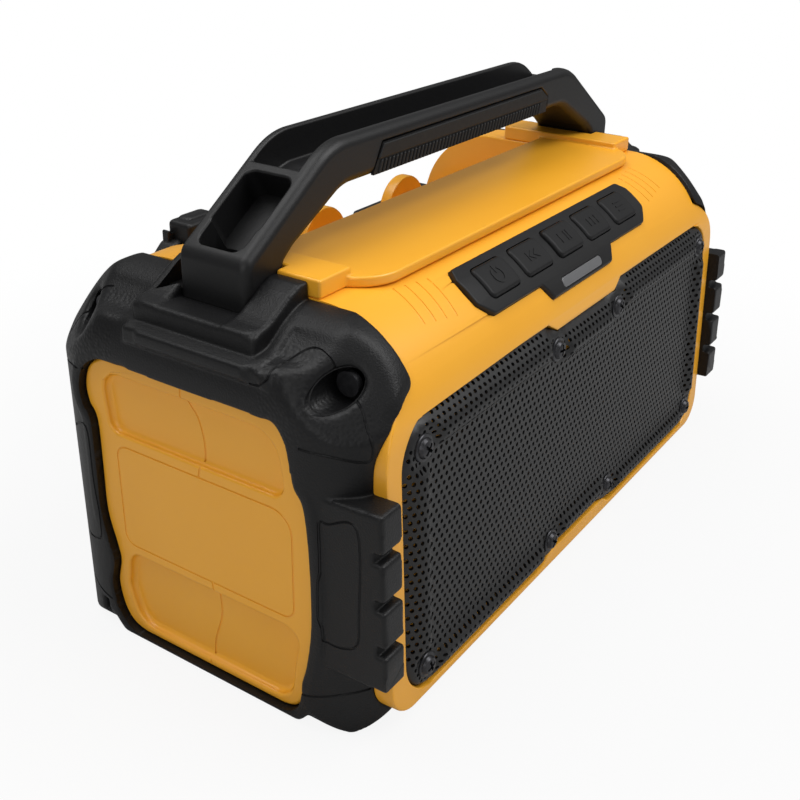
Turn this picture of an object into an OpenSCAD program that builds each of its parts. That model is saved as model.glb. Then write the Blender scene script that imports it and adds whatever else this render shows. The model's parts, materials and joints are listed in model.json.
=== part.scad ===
// Portable bluetooth speaker with carry handle, end bumpers and a slide-on battery dock
// Millimetres, +Z up, front faces -Y, origin under the middle of the footprint

/* [Body] */
// Length between the two end panels
body_w = 248; // [240:1:280]
// Depth of the body, front frame to rear wall
body_d = 120; // [116:1:136]
// Height of the body top above the ground
body_h = 120.5; // [118:0.5:130]
// Ground clearance under the shells
floor_z = 1.8; // [1.5:0.1:3]
// Wall thickness of the shells
wall = 3; // [2:0.25:3.5]
// Radius of the front and rear top shoulders
shoulder_r = 32; // [28:1:34]
// Radius of the bottom edges
base_r = 12; // [10:1:14]
// Backward lean of the front face in degrees
lean = 2.6; // [0:0.1:4]

/* [Bumpers] */
// Reach of a bumper inward from the end panel
bumper_w = 24; // [22:1:28]
// Thickness of the bumper around the shell ends
bumper_t = 4; // [3:0.5:5]
// How far the bumper face stands past the end panel
bumper_proud = 2; // [1:0.5:3]
// Radius of the upright bumper corners
corner_r = 23; // [18:1:26]
// Radius of the bumper's top outer edge
crown_r = 22; // [18:1:26]
// Reach of the notched corner ridges past the frame
ridge_h = 3.8; // [3:0.2:6]
// Height of one ridge tooth
tooth_h = 10.5; // [8:0.5:11]

/* [Grille] */
// Frame left beside the grille, measured from an end panel
frame_side = 15; // [14.5:0.5:20]
// Height of the pressed grille
grille_h = 88.5; // [85:0.5:90]
// Height of the grille's lower edge
grille_z = 7.5; // [7:0.5:9]
// Corner radius of the grille
grille_r = 14; // [13:1:18]
// Width of the raised rim
rim_w = 12; // [10:0.5:12.5]
// Height of the rim above its seat
rim_h = 8.2; // [7:0.2:9]
// Sheet thickness
sheet = 1.2; // [0.8:0.1:1.5]

/* [Handle] */
// Inset of a handle leg from the end panel
leg_inset = 12; // [10:0.5:15]
// Depth of the handle
handle_d = 24; // [22:1:30]
// Top of the handle above the ground
handle_top = 155.2; // [153:0.2:166]
// Height of the grip bar
bar_h = 13.6; // [12:0.1:16]
// Run of each sloping end of the handle
bend_w = 41; // [37:1:46]

/* [Keys] */
// Slope of the keypad face, measured up from the front
key_angle = 52; // [46:1:56]
// Pitch of the five keys
key_pitch = 21.5; // [20:0.5:22]
// Width of a key
key_w = 17; // [15:0.5:18]
// Height of a key
key_h = 11; // [9:0.5:12]
// Travel of a key
key_travel = 0.8; // [0.5:0.1:1]

/* [Drivers] */
// Outer diameter of a driver flange
driver_d = 76; // [66:1:78]
// Distance of each driver's axis from the end panel
driver_side = 70; // [67:1:74]

/* [Dock] */
// Distance of the battery dock from an end panel
dock_side = 47; // [44:1:52]
// Width of the battery channel
channel_w = 84; // [78:1:92]
// Depth of the dock behind its rear face
dock_t = 19.5; // [17:0.5:21]

/* [Fasteners] */
// Shank diameter of the case screws
screw_d = 3; // [2.5:0.1:3.5]
// Head diameter of the grille screws
head_d = 8; // [7:0.2:9]

/* [Fits] */
// Clearance round pieces that sit in a pocket
fit = 0.1; // [0.05:0.05:0.2]
// Clearance round the moving keys
key_gap = 0.35; // [0.3:0.05:0.5]

/* [Hidden] */
$fn = 48;
half_d = body_d / 2;
end_x = body_w / 2;
panel_t = 4;
core_x = end_x - panel_t;
mid_x = end_x - bumper_w;
face_x = end_x + bumper_proud;
arc_y = shoulder_r - half_d;
arc_z = body_h - shoulder_r;
grille_w = body_w - 2 * frame_side;
handle_span = body_w - 2 * leg_inset;
bar_w = handle_span - 2 * bend_w;
grip_x = bar_w / 2 - 17;
rib_pitch = 2;
driver_x = end_x - driver_side;
dock_w = body_w - 2 * dock_side;
frame_x = end_x - 7.8;
frame_z = floor_z + 3.4;
frame_top = arc_z + 16;
frame_r = 20;
frame_rb = 11;
foot_r = 9;
seat_y = 4 - half_d;
baffle_t = 3;
grille_mid = grille_z + grille_h / 2;
notch_h = 3.3;
field_o = 4.4;
slope_y = 5.5;
slope_x = mid_x - 14;
slope_drop = 0.523;
slope_end = half_d + 20;
dock_back = half_d + 7.68;
dock_y = dock_back - dock_t;
dock_z = 8;
dock_floor = 3;
leg_z = body_h - 2;
pad_z = body_h - bumper_t - wall - 3;
leg_x0 = handle_span / 2 - 16.5;
leg_x1 = handle_span / 2;
bar_z = handle_top - bar_h;
deck_h = 3.2;
deck_x = mid_x - 10;
deck_y = -35.5;
bezel_under = -3.5;
board_w = -9.2;
ledge_v0 = -7.4;
ledge_v1 = 8;
key_count = 5;
shell_screw_x = mid_x - 7;
shell_screw_z = [floor_z + 13, arc_z + 11];
corner_screw_y = half_d - 15.5;
corner_screw_z = body_h - 15;
corner_bore = 10.5;
corner_seat = end_x - 15;
pad_n = [0.617, 0.557, 0.557];
pad_d = pad_n[0] * (end_x - 7) + pad_n[1] * corner_screw_y + pad_n[2] * corner_screw_z;
grille_dx = [grille_w / 2 - 9, 22.6];
grille_dz = grille_h / 2 - 9;
bolt_r = driver_d / 2 - 3;
board_y = 28;
board_t = 1.6;
usb_x = (dock_w / 2 + mid_x) / 2;
usb_half = (mid_x - dock_w / 2) / 2 - wall - 0.5;
usb_z = 62;
usb_w = 5.8;
usb_h = 13.2;
usb_l = 15.8;
usb_wall = 0.6;
usb_post = 11;
magnet_d = 46;
magnet_h = 14.5;
main_w = 136;
main_h = 54;
main_z = 16;
post_x = main_w / 2 - 8;
post_z = [main_z + 8, main_z + main_h - 8];
radio_w = 22;
radio_h = 16;
can_d = 10;
can_h = 16;
sink_w = 32;
sink_h = 34;
sink_d = 15;
sink_x = main_w / 2 - 48;
terminal_w = 42;
terminal_h = 24;
terminal_t = 6;
terminal_z = 58;

// Extrudes a side profile drawn in (y, z) along X, both ways from the middle
module x_span(half) {
    translate([-half, 0, 0]) rotate([90, 0, 90]) linear_extrude(2 * half) children();
}

// Extrudes a front profile drawn in (x, z) along Y from y0 to y1
module y_from(y0, y1) {
    translate([0, y1, 0]) rotate([90, 0, 0]) linear_extrude(y1 - y0) children();
}

// A bar along Y, round, from y0 to y1
module y_rod(x, z, d, y0, y1) {
    translate([x, y1, z]) rotate([90, 0, 0]) cylinder(d = d, h = y1 - y0);
}

// Places children on the shoulder, local x along X, y up the slope, z out of the surface
module on_shoulder() {
    translate([0, arc_y, arc_z]) rotate([90 - key_angle, 0, 0]) translate([0, 0, shoulder_r]) children();
}

// A round bar on the shoulder axis, used to trim pieces to the shoulder's curve
module shoulder_bar(r, half) {
    translate([-half, arc_y, arc_z]) rotate([0, 90, 0]) cylinder(r = r, h = 2 * half, $fn = 96);
}

module rounded(w, h, r) {
    square([w - 2 * r, h], center = true);
    square([w, h - 2 * r], center = true);
    for (x = [-1, 1], y = [-1, 1]) translate([x * (w / 2 - r), y * (h / 2 - r)]) circle(r);
}

// Side profile of the body, top corners rt and bottom corners rb
module section(d, z0, z1, rt, rb) {
    translate([-d / 2, z0 + rb]) square([d, z1 - z0 - rb - rt]);
    translate([rt - d / 2, z0 + rb]) square([d - 2 * rt, z1 - z0 - rb]);
    translate([rb - d / 2, z0]) square([d - 2 * rb, z1 - z0 - rt]);
    for (s = [-1, 1]) {
        translate([s * (d / 2 - rt), z1 - rt]) circle(rt, $fn = 96);
        translate([s * (d / 2 - rb), z0 + rb]) circle(rb);
    }
}

// Outline of the end panel seen from the end
module panel_outline(grow) {
    polygon([[-31 - grow, 96.8 + grow], [32 + grow, 96.8 + grow], [39 + grow, 93 + grow],
        [42.5 + grow, 86], [42.5 + grow, 78.5 - grow], [38 + grow, 76 - grow], [39.5 + grow, 58],
        [39.5 + grow, 43], [35 + grow, 30], [35 + grow, 26], [38 + grow, 18], [36 + grow, 11],
        [28 + grow, floor_z], [28 + grow, floor_z - grow], [-35 - grow, floor_z - grow],
        [-35 - grow, floor_z], [-38.5 - grow, 7], [-38 - grow, 14], [-40.5 - grow, 22],
        [-43 - grow, 37], [-42.5 - grow, 58], [-41 - grow, 76 + grow], [-36.5 - grow, 78.6 + grow],
        [-36 - grow, 88]]);
}

// Everything past the sloping pads at the four top corners, moved inward by t
module past_corners(t) {
    for (x = [0, 1], y = [0, 1]) mirror([x, 0, 0]) mirror([0, y, 0])
        rotate([0, 0, atan2(pad_n[1], pad_n[0])]) rotate([0, acos(pad_n[2]), 0])
            translate([-100, -100, pad_d - t]) cube([200, 200, 60]);
}

// A block rounded like the body in side, plan and front view, i inward from the bumper's skin
module end_block(x, d, z0, z1, i) {
    difference() {
        intersection() {
            x_span(x) section(d, z0, z1, shoulder_r - i, base_r - i / 2);
            translate([0, 0, -1]) linear_extrude(2 * body_h) rounded(2 * x, d, corner_r - i);
            y_from(-body_d, body_d) section(2 * x, z0, z1, crown_r - i, foot_r - i / 2);
        }
        past_corners(i);
    }
}

// Ends of the body under the bumpers, moved inward by t
module body_ends(t) {
    end_block(core_x - t, body_d - 2 * bumper_t - 2 * t, floor_z + t, body_h - bumper_t - t, bumper_t + t);
}

// Leans children back with the front face, which stays tangent to the shoulder
module leaning() {
    translate([0, arc_y - shoulder_r / cos(lean), arc_z]) rotate([-lean, 0, 0])
        translate([0, half_d, -arc_z]) children();
}

// Side profile of the body's middle with its leaning front, grown by t
module side_profile(t) {
    front_h = arc_z - frame_z + shoulder_r * tan(lean) + t;
    section(body_d + 2 * t, floor_z - t, body_h + t, shoulder_r + t, base_r + t);
    translate([arc_y, arc_z]) rotate(-lean) translate([-shoulder_r - t, -front_h])
        square([shoulder_r + t, front_h]);
}

// Space within the outline of the front frame, grown by t
module frame_outline(t) {
    leaning() y_from(-body_d, seat_y + baffle_t + t)
        section(2 * frame_x + 2 * t, frame_z - t, frame_top + t, frame_r + t, frame_rb + t);
}

// Yellow body as one solid, before it is hollowed and split
module body_outside() {
    difference() {
        x_span(frame_x + 1) side_profile(0);
        difference() {
            for (s = [0, 1]) mirror([s, 0, 0]) translate([mid_x, -body_d, -1])
                cube([end_x, 2 * body_d, 2 * body_h]);
            frame_outline(0);
        }
    }
    body_ends(0);
    x_span(end_x) panel_outline(0);
}

module body_inside() {
    x_span(mid_x - wall)
        section(body_d - 2 * wall, floor_z + wall, body_h - wall, shoulder_r - wall, base_r - wall);
    body_ends(wall);
}

// Space over the sloping rear deck
module rear_slope(t) {
    x_span(slope_x + t)
        polygon([[slope_y - t, body_h - t], [slope_end, body_h - t - slope_drop * (slope_end - slope_y + t)],
            [slope_end, body_h + 20], [slope_y - t, body_h + 20]]);
}

// Space taken by the battery dock
module dock_space(t) {
    translate([-dock_w / 2 - t, dock_y - t, dock_z - t]) cube([dock_w + 2 * t, 60, body_h]);
}

// Space a handle leg takes in the shells, deck and bumper
module leg_space(t) {
    for (s = [-1, 1]) {
        translate([s * (leg_x0 + leg_x1) / 2, 0, leg_z + 15])
            cube([leg_x1 - leg_x0 + 2 * t, handle_d + 2 * t, 30], center = true);
    }
}

// Pads that carry the handle legs, their flat undersides seat the screw heads
module leg_pads() {
    for (s = [-1, 1]) {
        translate([s * (mid_x + leg_x1) / 2, 0, (leg_z + pad_z) / 2])
            cube([leg_x1 - mid_x, handle_d, leg_z - pad_z], center = true);
    }
}

module handle_screw_holes(d) {
    for (x = [-1, 1], y = [-1, 1]) {
        translate([x * (leg_x1 - 6), y * handle_d / 4, leg_z - 12]) cylinder(d = d, h = 25);
    }
}

module grille_outline(grow) {
    difference() {
        rounded(grille_w + 2 * grow, grille_h + 2 * grow, grille_r + grow);
        for (s = [0, 1]) mirror([0, s]) {
            polygon([[-27 + grow, grille_h / 2 + 1], [-27 + grow, grille_h / 2 + grow],
                [-21.5 + grow, grille_h / 2 - notch_h + grow], [21.5 - grow, grille_h / 2 - notch_h + grow],
                [27 - grow, grille_h / 2 + grow], [27 - grow, grille_h / 2 + 1]]);
        }
    }
}

module grille_screw_spots() {
    for (x = grille_dx, sx = [-1, 1], sz = [-1, 1]) {
        translate([sx * x, seat_y, grille_mid + sz * grille_dz]) rotate([90, 0, 0]) children();
    }
}

// Sweeps a profile, x outward from the edge and y forward, round a rounded rectangle
module swept(w, h, r) {
    for (s = [0, 180]) rotate([0, 0, s]) {
        translate([w / 2 - r, h / 2 - r, 0]) rotate_extrude(angle = 90) translate([r, 0]) children();
        translate([r - w / 2, h / 2 - r, 0]) rotate([0, 0, 90])
            rotate_extrude(angle = 90) translate([r, 0]) children();
        translate([w / 2, r - h / 2, 0]) rotate([90, 0, 180]) mirror([1, 0, 0])
            linear_extrude(h - 2 * r) children();
        translate([w / 2 - r, h / 2, 0]) rotate([90, 0, 270]) mirror([1, 0, 0])
            linear_extrude(w - 2 * r) children();
    }
}

module shell_screw_spots() {
    for (x = [-1, 1], z = shell_screw_z) translate([x * shell_screw_x, 0, z]) rotate([90, 0, 0]) children();
}

// Round bars along X at the four corner screws, x0 to x1 from the middle outward
module corner_rods(d, x0, x1) {
    for (x = [0, 1], y = [-1, 1]) mirror([x, 0, 0])
        translate([x0, y * corner_screw_y, corner_screw_z]) rotate([0, 90, 0]) cylinder(d = d, h = x1 - x0);
}

module keypad_outline(grow) {
    polygon([[-53.5, -9 - grow], [-25 - grow, -9 - grow], [-21 - grow, -14.3 - grow],
        [21 + grow, -14.3 - grow], [25 + grow, -9 - grow], [53.5, -9 - grow], [59 + grow, -4],
        [59 + grow, 5], [56.5, 9 + grow], [-56.5, 9 + grow], [-59 - grow, 5], [-59 - grow, -4]]);
}

module key_outline(grow) {
    rounded(key_w + 2 * grow, key_h + 2 * grow, 2 + grow);
}

module front_shell() {
    color("#F2AB2B") difference() {
        union() {
            intersection() {
                union() {
                    difference() {
                        body_outside();
                        body_inside();
                    }
                    leg_pads();
                    front_inside();
                }
                translate([-end_x - 1, -body_d, -1]) cube([body_w + 2, body_d, 2 * body_h]);
            }
            leaning() y_from(seat_y - 1, seat_y + baffle_t) translate([0, grille_mid])
                square([2 * mid_x - 2, grille_h + 3], center = true);
        }
        leaning() baffle_cuts();
        front_cuts();
    }
}

// Frame under the keypad, screw bosses and corner screw seats inside the front shell
module front_inside() {
    on_shoulder() translate([-59, -10.7, board_w]) cube([118, 22, -board_w - 2.4]);
    intersection() {
        x_span(mid_x) section(body_d - 1, floor_z + 0.5, body_h - 0.5, shoulder_r - 0.5, base_r - 0.5);
        shell_screw_spots() cylinder(d = 9, h = half_d);
    }
    corner_seats();
}

// Seats of the corner screws within the shell ends
module corner_seats() {
    intersection() {
        body_ends(0);
        corner_rods(corner_bore + 4, corner_seat - 13, end_x);
    }
}

// Grille seat, driver openings and screw holes in the leaning front
module baffle_cuts() {
    difference() {
        y_from(-half_d - 5, seat_y) translate([0, grille_mid]) grille_outline(fit);
        grille_screw_spots() translate([0, 0, -1]) cylinder(d = 7, h = 1 + field_o - sheet);
    }
    for (s = [-1, 1]) y_rod(s * driver_x, grille_mid, driver_d - 10, -half_d, seat_y + baffle_t + 3);
    for (s = [-1, 1], a = [45:90:315])
        y_rod(s * driver_x + bolt_r * cos(a), grille_mid + bolt_r * sin(a), 2.5 + 2 * fit,
            -half_d, seat_y + baffle_t + 3);
    grille_screw_spots() translate([0, 0, -8]) cylinder(d = screw_d + 2 * fit, h = 20);
}

module front_cuts() {
    on_shoulder() {
        translate([0, 0, bezel_under]) linear_extrude(12) keypad_outline(fit);
        translate([-54, ledge_v0, board_w - 2]) cube([108, ledge_v1 - ledge_v0, 12]);
    }
    shell_screw_spots() translate([0, 0, -1]) cylinder(d = screw_d + 2 * fit, h = 22);
    corner_rods(corner_bore, corner_seat, end_x + 5);
    corner_rods(screw_d + 2 * fit, corner_seat - 11.5, end_x);
    leg_space(fit);
    handle_screw_holes(screw_d + 2 * fit);
    label_recess();
}

// Shallow bare field on each end panel
module label_recess() {
    for (s = [-1, 1]) translate([s * end_x, 0, 0])
        x_span(0.8) translate([-2, 51.5]) rounded(66, 36, 6);
}

module rear_shell() {
    color("#F2AB2B") difference() {
        union() {
            intersection() {
                difference() {
                    union() {
                        difference() {
                            body_outside();
                            difference() {
                                body_inside();
                                rear_slope(wall);
                                dock_space(wall);
                            }
                        }
                        leg_pads();
                        rear_inside();
                    }
                    rear_slope(0);
                    dock_space(fit);
                }
                translate([-end_x - 1, 0, -1]) cube([body_w + 2, body_d, 2 * body_h]);
            }
            for (s = [-1, 1]) y_from(29, 33.5) translate([s * 25, 0]) {
                translate([0, 105]) circle(12);
                translate([-12, 102]) square([24, 3]);
            }
        }
        rear_cuts();
    }
}

// Screw bosses, corner screw seats and board posts inside the rear shell
module rear_inside() {
    intersection() {
        body_outside();
        union() {
            mirror([0, 1, 0]) shell_screw_spots() cylinder(d = 11, h = half_d);
            corner_rods(corner_bore + 4, corner_seat - 13, end_x);
            for (s = [-1, 1], z = post_z) y_rod(s * post_x, z, 7, board_y + board_t, dock_y - 1);
            for (z = [-usb_post, usb_post]) y_rod(usb_x, usb_z + z, 4, half_d - 16, half_d - 1);
        }
    }
}

module rear_cuts() {
    mirror([0, 1, 0]) shell_screw_spots() {
        translate([0, 0, 14]) cylinder(d = 7, h = half_d);
        translate([0, 0, -1]) cylinder(d = screw_d + 2 * fit, h = half_d);
    }
    corner_rods(corner_bore, corner_seat, end_x + 5);
    corner_rods(screw_d + 2 * fit, corner_seat - 11.5, end_x);
    for (s = [-1, 1], z = post_z) y_rod(s * post_x, z, 2.5 + 2 * fit, board_y, dock_y - 4);
    translate([usb_x - usb_w / 2 - fit, half_d - 5, usb_z - usb_h / 2 - fit])
        cube([usb_w + 2 * fit, 10, usb_h + 2 * fit]);
    leg_space(fit);
    handle_screw_holes(screw_d + 2 * fit);
    dock_screw_spots() cylinder(d = screw_d + 2 * fit, h = 30);
    label_recess();
}

// Raised deck plate with a block at each end beside the handle legs
module top_deck() {
    color("#F2AB2B") difference() {
        union() {
            translate([0, 0, body_h]) linear_extrude(deck_h) {
                translate([-deck_x, deck_y + 15]) square([2 * deck_x, slope_y - deck_y - 15]);
                translate([15 - deck_x, deck_y]) square([2 * deck_x - 30, 20]);
                for (s = [-1, 1]) translate([s * (deck_x - 15), deck_y + 15]) circle(15);
            }
            for (s = [-1, 1]) translate([s * (slope_x + mid_x) / 2, -2.5, body_h + 2.75])
                cube([mid_x - slope_x, 49, 5.5], center = true);
        }
        leg_space(fit);
    }
}

// One end bumper, drawn at the right end
module bumper() {
    difference() {
        union() {
            intersection() {
                end_block(face_x, body_d + 0.8, 0, body_h + 1, 0);
                translate([mid_x, -body_d, -1]) cube([body_w, 2 * body_d, 2 * body_h]);
            }
            saddle();
            leaning() ridge();
        }
        body_ends(0);
        x_span(face_x + 5) panel_outline(fit);
        x_span(face_x + 5) translate([-35, -1]) square([62, floor_z + 2]);
        frame_outline(fit);
        leg_space(fit);
        translate([0, 0, -8]) leg_space(fit);
        corner_rods(corner_bore, corner_seat, face_x + 5);
    }
}

// Raised saddle the handle leg stands in
module saddle() {
    y_from(-30, 21) polygon([[mid_x, body_h - 4], [mid_x, body_h + 2.5], [leg_x1 - 6, body_h + 2.5],
        [leg_x1, body_h - 2], [end_x - 5, body_h - 3], [face_x + 1.5, body_h - 8],
        [face_x + 1.5, body_h - 14], [face_x - 3, body_h - 16]]);
    for (y = [-handle_d / 2 - 8 - fit, handle_d / 2 + fit]) y_from(y, y + 8)
        polygon([[mid_x, body_h], [mid_x, body_h + 4.5], [leg_x1 - 5, body_h + 4.5],
            [leg_x1 + 2, body_h - 2]]);
}

// Toothed ridge down the corner, drawn at the front
module ridge() {
    pitch = tooth_h + 4;
    translate([frame_x + fit, 3 - half_d - ridge_h, 25])
        cube([face_x - frame_x - 1.5 - fit, 17, 3 * pitch + tooth_h]);
    for (i = [0:3]) translate([frame_x + fit, -half_d - ridge_h, 25 + i * pitch])
        cube([face_x - frame_x - 1.5 - fit, 12, tooth_h]);
}

module left_bumper() {
    color("#2F2F2F") mirror([1, 0, 0]) bumper();
}

module right_bumper() {
    color("#2F2F2F") bumper();
}

// Carry handle with a channel along its top and a window in each sloping end
module handle() {
    knee = bar_w / 2 + 6;
    color("#333333") difference() {
        y_from(-handle_d / 2, handle_d / 2) polygon([[leg_x1, leg_z], [leg_x1, body_h + 9],
            [leg_x1 - 5, body_h + 13], [knee, handle_top - 2], [bar_w / 2, handle_top],
            [-bar_w / 2, handle_top], [-knee, handle_top - 2], [5 - leg_x1, body_h + 13],
            [-leg_x1, body_h + 9], [-leg_x1, leg_z], [-leg_x0, leg_z], [-leg_x0, body_h + 5.8],
            [-leg_x0 + 5, body_h + 9.5], [2.5 - bar_w / 2, bar_z], [bar_w / 2 - 2.5, bar_z],
            [leg_x0 - 5, body_h + 9.5], [leg_x0, body_h + 5.8], [leg_x0, leg_z]]);
        handle_cuts(knee);
        translate([-grip_x - fit, -handle_d / 2 - 1, bar_z - 1])
            cube([2 * grip_x + 2 * fit, 1 + 1.2, 10 + fit]);
        handle_screw_holes(screw_d + 2 * fit);
    }
}

// Channel along the grip and the windows in the sloping ends
module handle_cuts(knee) {
    rise = handle_top - 2 - body_h - 13;
    run = leg_x1 - 5 - knee;
    translate([2 - bar_w / 2, -4, bar_z + 3.5]) cube([bar_w - 4, handle_d / 2 + 0.5, bar_h]);
    for (s = [0, 1]) mirror([s, 0, 0])
        translate([leg_x1 - 5 - run / 2, 0, body_h + 13 + rise / 2]) rotate([0, atan2(rise, run), 0])
            translate([0, 0, -9]) linear_extrude(20) rounded(24, 15, 4);
}

module handle_grip() {
    color("#262626") difference() {
        translate([-grip_x, -handle_d / 2 - 0.7, bar_z]) cube([2 * grip_x, 1.9, 9]);
        for (x = [2 * rib_pitch - 2 * grip_x:2 * rib_pitch:2 * grip_x - 2 * rib_pitch])
            translate([x / 2, -handle_d / 2 - 1.2, bar_z - 1]) cube([0.9, 1, 5]);
    }
}

// Steel screws up through the shell tops into the handle legs
module handle_screws() {
    color("#8C8F93") {
        for (x = [-1, 1], y = [-1, 1]) translate([x * (leg_x1 - 6), y * handle_d / 4, 0]) {
            translate([0, 0, pad_z - 2.2]) cylinder(d = 6, h = 2.2);
            translate([0, 0, pad_z - 0.5]) cylinder(d = screw_d, h = 19);
        }
    }
}

module bumper_screws() {
    color("#8C8F93") {
        corner_rods(7, corner_seat, corner_seat + 2.6);
        corner_rods(screw_d, corner_seat - 11, corner_seat + 0.5);
    }
}

module shell_screws() {
    color("#8C8F93") mirror([0, 1, 0]) shell_screw_spots() {
        translate([0, 0, 14]) cylinder(d = 6, h = 2.4);
        translate([0, 0, -16]) cylinder(d = screw_d, h = 31);
    }
}

// Pressed sheet grille, rim profile swept round a flat field
module grille() {
    color("#3A3A3A") leaning() translate([0, seat_y, grille_mid]) rotate([90, 0, 0]) difference() {
        union() {
            difference() {
                swept(grille_w, grille_h, grille_r) polygon([[0, 0], [0, 4.2], [-1.5, 6.2], [-5, rim_h],
                    [3.5 - rim_w, rim_h], [-rim_w, field_o], [-rim_w, field_o - sheet],
                    [4 - rim_w, rim_h - sheet],
                    [-5.2, rim_h - sheet], [-2.4, 5.4], [-sheet, 3.9], [-sheet, 0]]);
                grille_dimples(14, 20);
            }
            translate([0, 0, field_o - sheet]) linear_extrude(sheet)
                square([grille_w - 2 * rim_w + 0.2, grille_h - 2 * rim_w + 0.2], center = true);
            intersection() {
                swept(grille_w, grille_h, grille_r)
                    polygon([[0, 2], [0, 4.2], [-1.5, 6.2], [-5, rim_h], [3.5 - rim_w, rim_h],
                        [-rim_w, field_o], [-rim_w, 2]]);
                difference() {
                    grille_dimples(14.2, 20);
                    translate([0, 0, field_o]) grille_dimples(12, 20);
                    translate([0, 0, field_o - sheet - 20]) grille_dimples(15, 20);
                }
            }
        }
        for (s = [0, 1]) mirror([0, s, 0]) translate([0, 0, -1]) linear_extrude(rim_h + 2)
            polygon([[-27.2, grille_h / 2 + 1], [-27.2, grille_h / 2], [-21.7, grille_h / 2 - notch_h - 0.1],
                [21.7, grille_h / 2 - notch_h - 0.1], [27.2, grille_h / 2], [27.2, grille_h / 2 + 1]]);
        grille_dimples(screw_d + 0.4, 20);
    }
}

module grille_dimples(d, h) {
    for (x = grille_dx, sx = [-1, 1], sz = [-1, 1])
        translate([sx * x, sz * grille_dz, 0]) cylinder(d = d, h = h);
}

module grille_screws() {
    color("#2B2B2B") leaning() grille_screw_spots() difference() {
        union() {
            translate([0, 0, field_o]) cylinder(d = head_d, h = 2);
            translate([0, 0, -1.5]) cylinder(d = screw_d, h = field_o + 2);
        }
        for (a = [0, 90]) rotate([0, 0, a]) translate([-2.2, -0.5, field_o + 0.9]) cube([4.4, 1, 3]);
    }
}

// Bezel of the keypad, trimmed to the shoulder's curve
module keypad() {
    color("#242424") difference() {
        intersection() {
            on_shoulder() translate([0, 0, bezel_under]) linear_extrude(10) keypad_outline(0);
            shoulder_bar(shoulder_r + 1.4, 70);
        }
        on_shoulder() {
            for (i = [0:key_count - 1]) translate([(i - 2) * key_pitch, 0.3, bezel_under - 5])
                linear_extrude(20) key_outline(key_gap);
            translate([0, -11.9, bezel_under - 5]) linear_extrude(20)
                rounded(28 + 2 * fit, 3.2 + 2 * fit, 1.5);
        }
    }
}

// One key, its flange held under the bezel
module key(i, lift) {
    color("#2A2A2A") {
        intersection() {
            on_shoulder() translate([(i - 2) * key_pitch, 0.3, bezel_under - 1.5])
                linear_extrude(12) key_outline(0);
            shoulder_bar(shoulder_r + 1.4 + lift, 70);
        }
        on_shoulder() translate([(i - 2) * key_pitch, 0.3, 0]) {
            translate([0, 0, bezel_under - 1.5]) linear_extrude(1.2) key_outline(1.2);
            translate([0, 0, bezel_under - 2.1]) cylinder(d = 4, h = 1);
        }
    }
}

module power_key() {
    key(0, 0.9);
}

module previous_key() {
    key(1, 0.9);
}

module play_key() {
    key(2, 1.4);
}

module next_key() {
    key(3, 0.9);
}

module mode_key() {
    key(4, 0.9);
}

module indicator_lens() {
    color("#6E6E6E") intersection() {
        on_shoulder() translate([0, -11.9, bezel_under]) linear_extrude(8) rounded(28, 3.2, 1.4);
        shoulder_bar(shoulder_r + 1.6, 40);
    }
}

module key_board() {
    color("#1F5B35") on_shoulder() translate([-57, -8.6, board_w - board_t]) cube([114, 17.8, board_t]);
}

module key_switches() {
    color("#C9C9C4") on_shoulder() for (i = [0:key_count - 1])
        translate([(i - 2) * key_pitch, 0.3, board_w]) {
            translate([-3, -3, 0]) cube([6, 6, 2]);
            translate([0, 0, 1.5]) cylinder(d = 3, h = bezel_under - board_w - key_travel - 3.75);
        }
}

// Steel basket of a driver, drawn round the driver axis
module basket(x) {
    color("#4A4C4F") leaning() translate([x, seat_y, grille_mid]) rotate([90, 0, 0]) difference() {
        rotate_extrude($fn = 96) polygon([[driver_d / 2, 0], [driver_d / 2, 1.2], [driver_d / 2 - 7, 1.2],
            [driver_d / 2 - 14, -20], [8, -20], [8, -21.5], [driver_d / 2 - 13, -21.5],
            [driver_d / 2 - 6, 0]]);
        for (a = [0:90:270]) rotate([0, 0, a]) translate([14, -6, -18]) cube([30, 12, 12]);
        for (a = [45:90:315]) rotate([0, 0, a]) translate([bolt_r, 0, -2]) cylinder(d = 2.7, h = 5);
    }
}

module left_basket() {
    basket(-driver_x);
}

module right_basket() {
    basket(driver_x);
}

// Paper cone with its rolled surround and dust cap
module cone(x) {
    color("#1E1E1F") leaning() translate([x, seat_y, grille_mid]) rotate([90, 0, 0]) rotate_extrude($fn = 96)
        polygon([[driver_d / 2 - 5.5, 1.2], [driver_d / 2 - 5.5, 1.8], [driver_d / 2 - 7.5, 2.5],
            [driver_d / 2 - 9.5, 2.5], [driver_d / 2 - 11.5, 0.2], [12, -13], [9, -10.6], [5, -9.2],
            [0, -8.8], [0, -9.4], [5, -9.8], [9, -11.4], [10, -13], [10, -20], [10.8, -20],
            [10.8, -15], [12, -13.8],
            [driver_d / 2 - 11.5, -0.6], [driver_d / 2 - 9.2, 1.7], [driver_d / 2 - 7.7, 1.7],
            [driver_d / 2 - 7, 1.2]]);
}

module left_cone() {
    cone(-driver_x);
}

module right_cone() {
    cone(driver_x);
}

module magnet(x) {
    color("#55575A") leaning() translate([x, seat_y, grille_mid]) rotate([90, 0, 0]) {
        translate([0, 0, -21.5 - magnet_h]) cylinder(d = magnet_d, h = magnet_h);
        translate([0, 0, -22]) cylinder(d = 15, h = 6);
    }
}

module left_magnet() {
    magnet(-driver_x);
}

module right_magnet() {
    magnet(driver_x);
}

module driver_screws() {
    color("#8C8F93") leaning() for (s = [-1, 1], a = [45:90:315])
        translate([s * driver_x + bolt_r * cos(a), seat_y, grille_mid + bolt_r * sin(a)]) rotate([90, 0, 0]) {
            translate([0, 0, 1.2]) cylinder(d = 4.6, h = 1.2);
            translate([0, 0, -4]) cylinder(d = 2.5, h = 5.5);
        }
}

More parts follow.
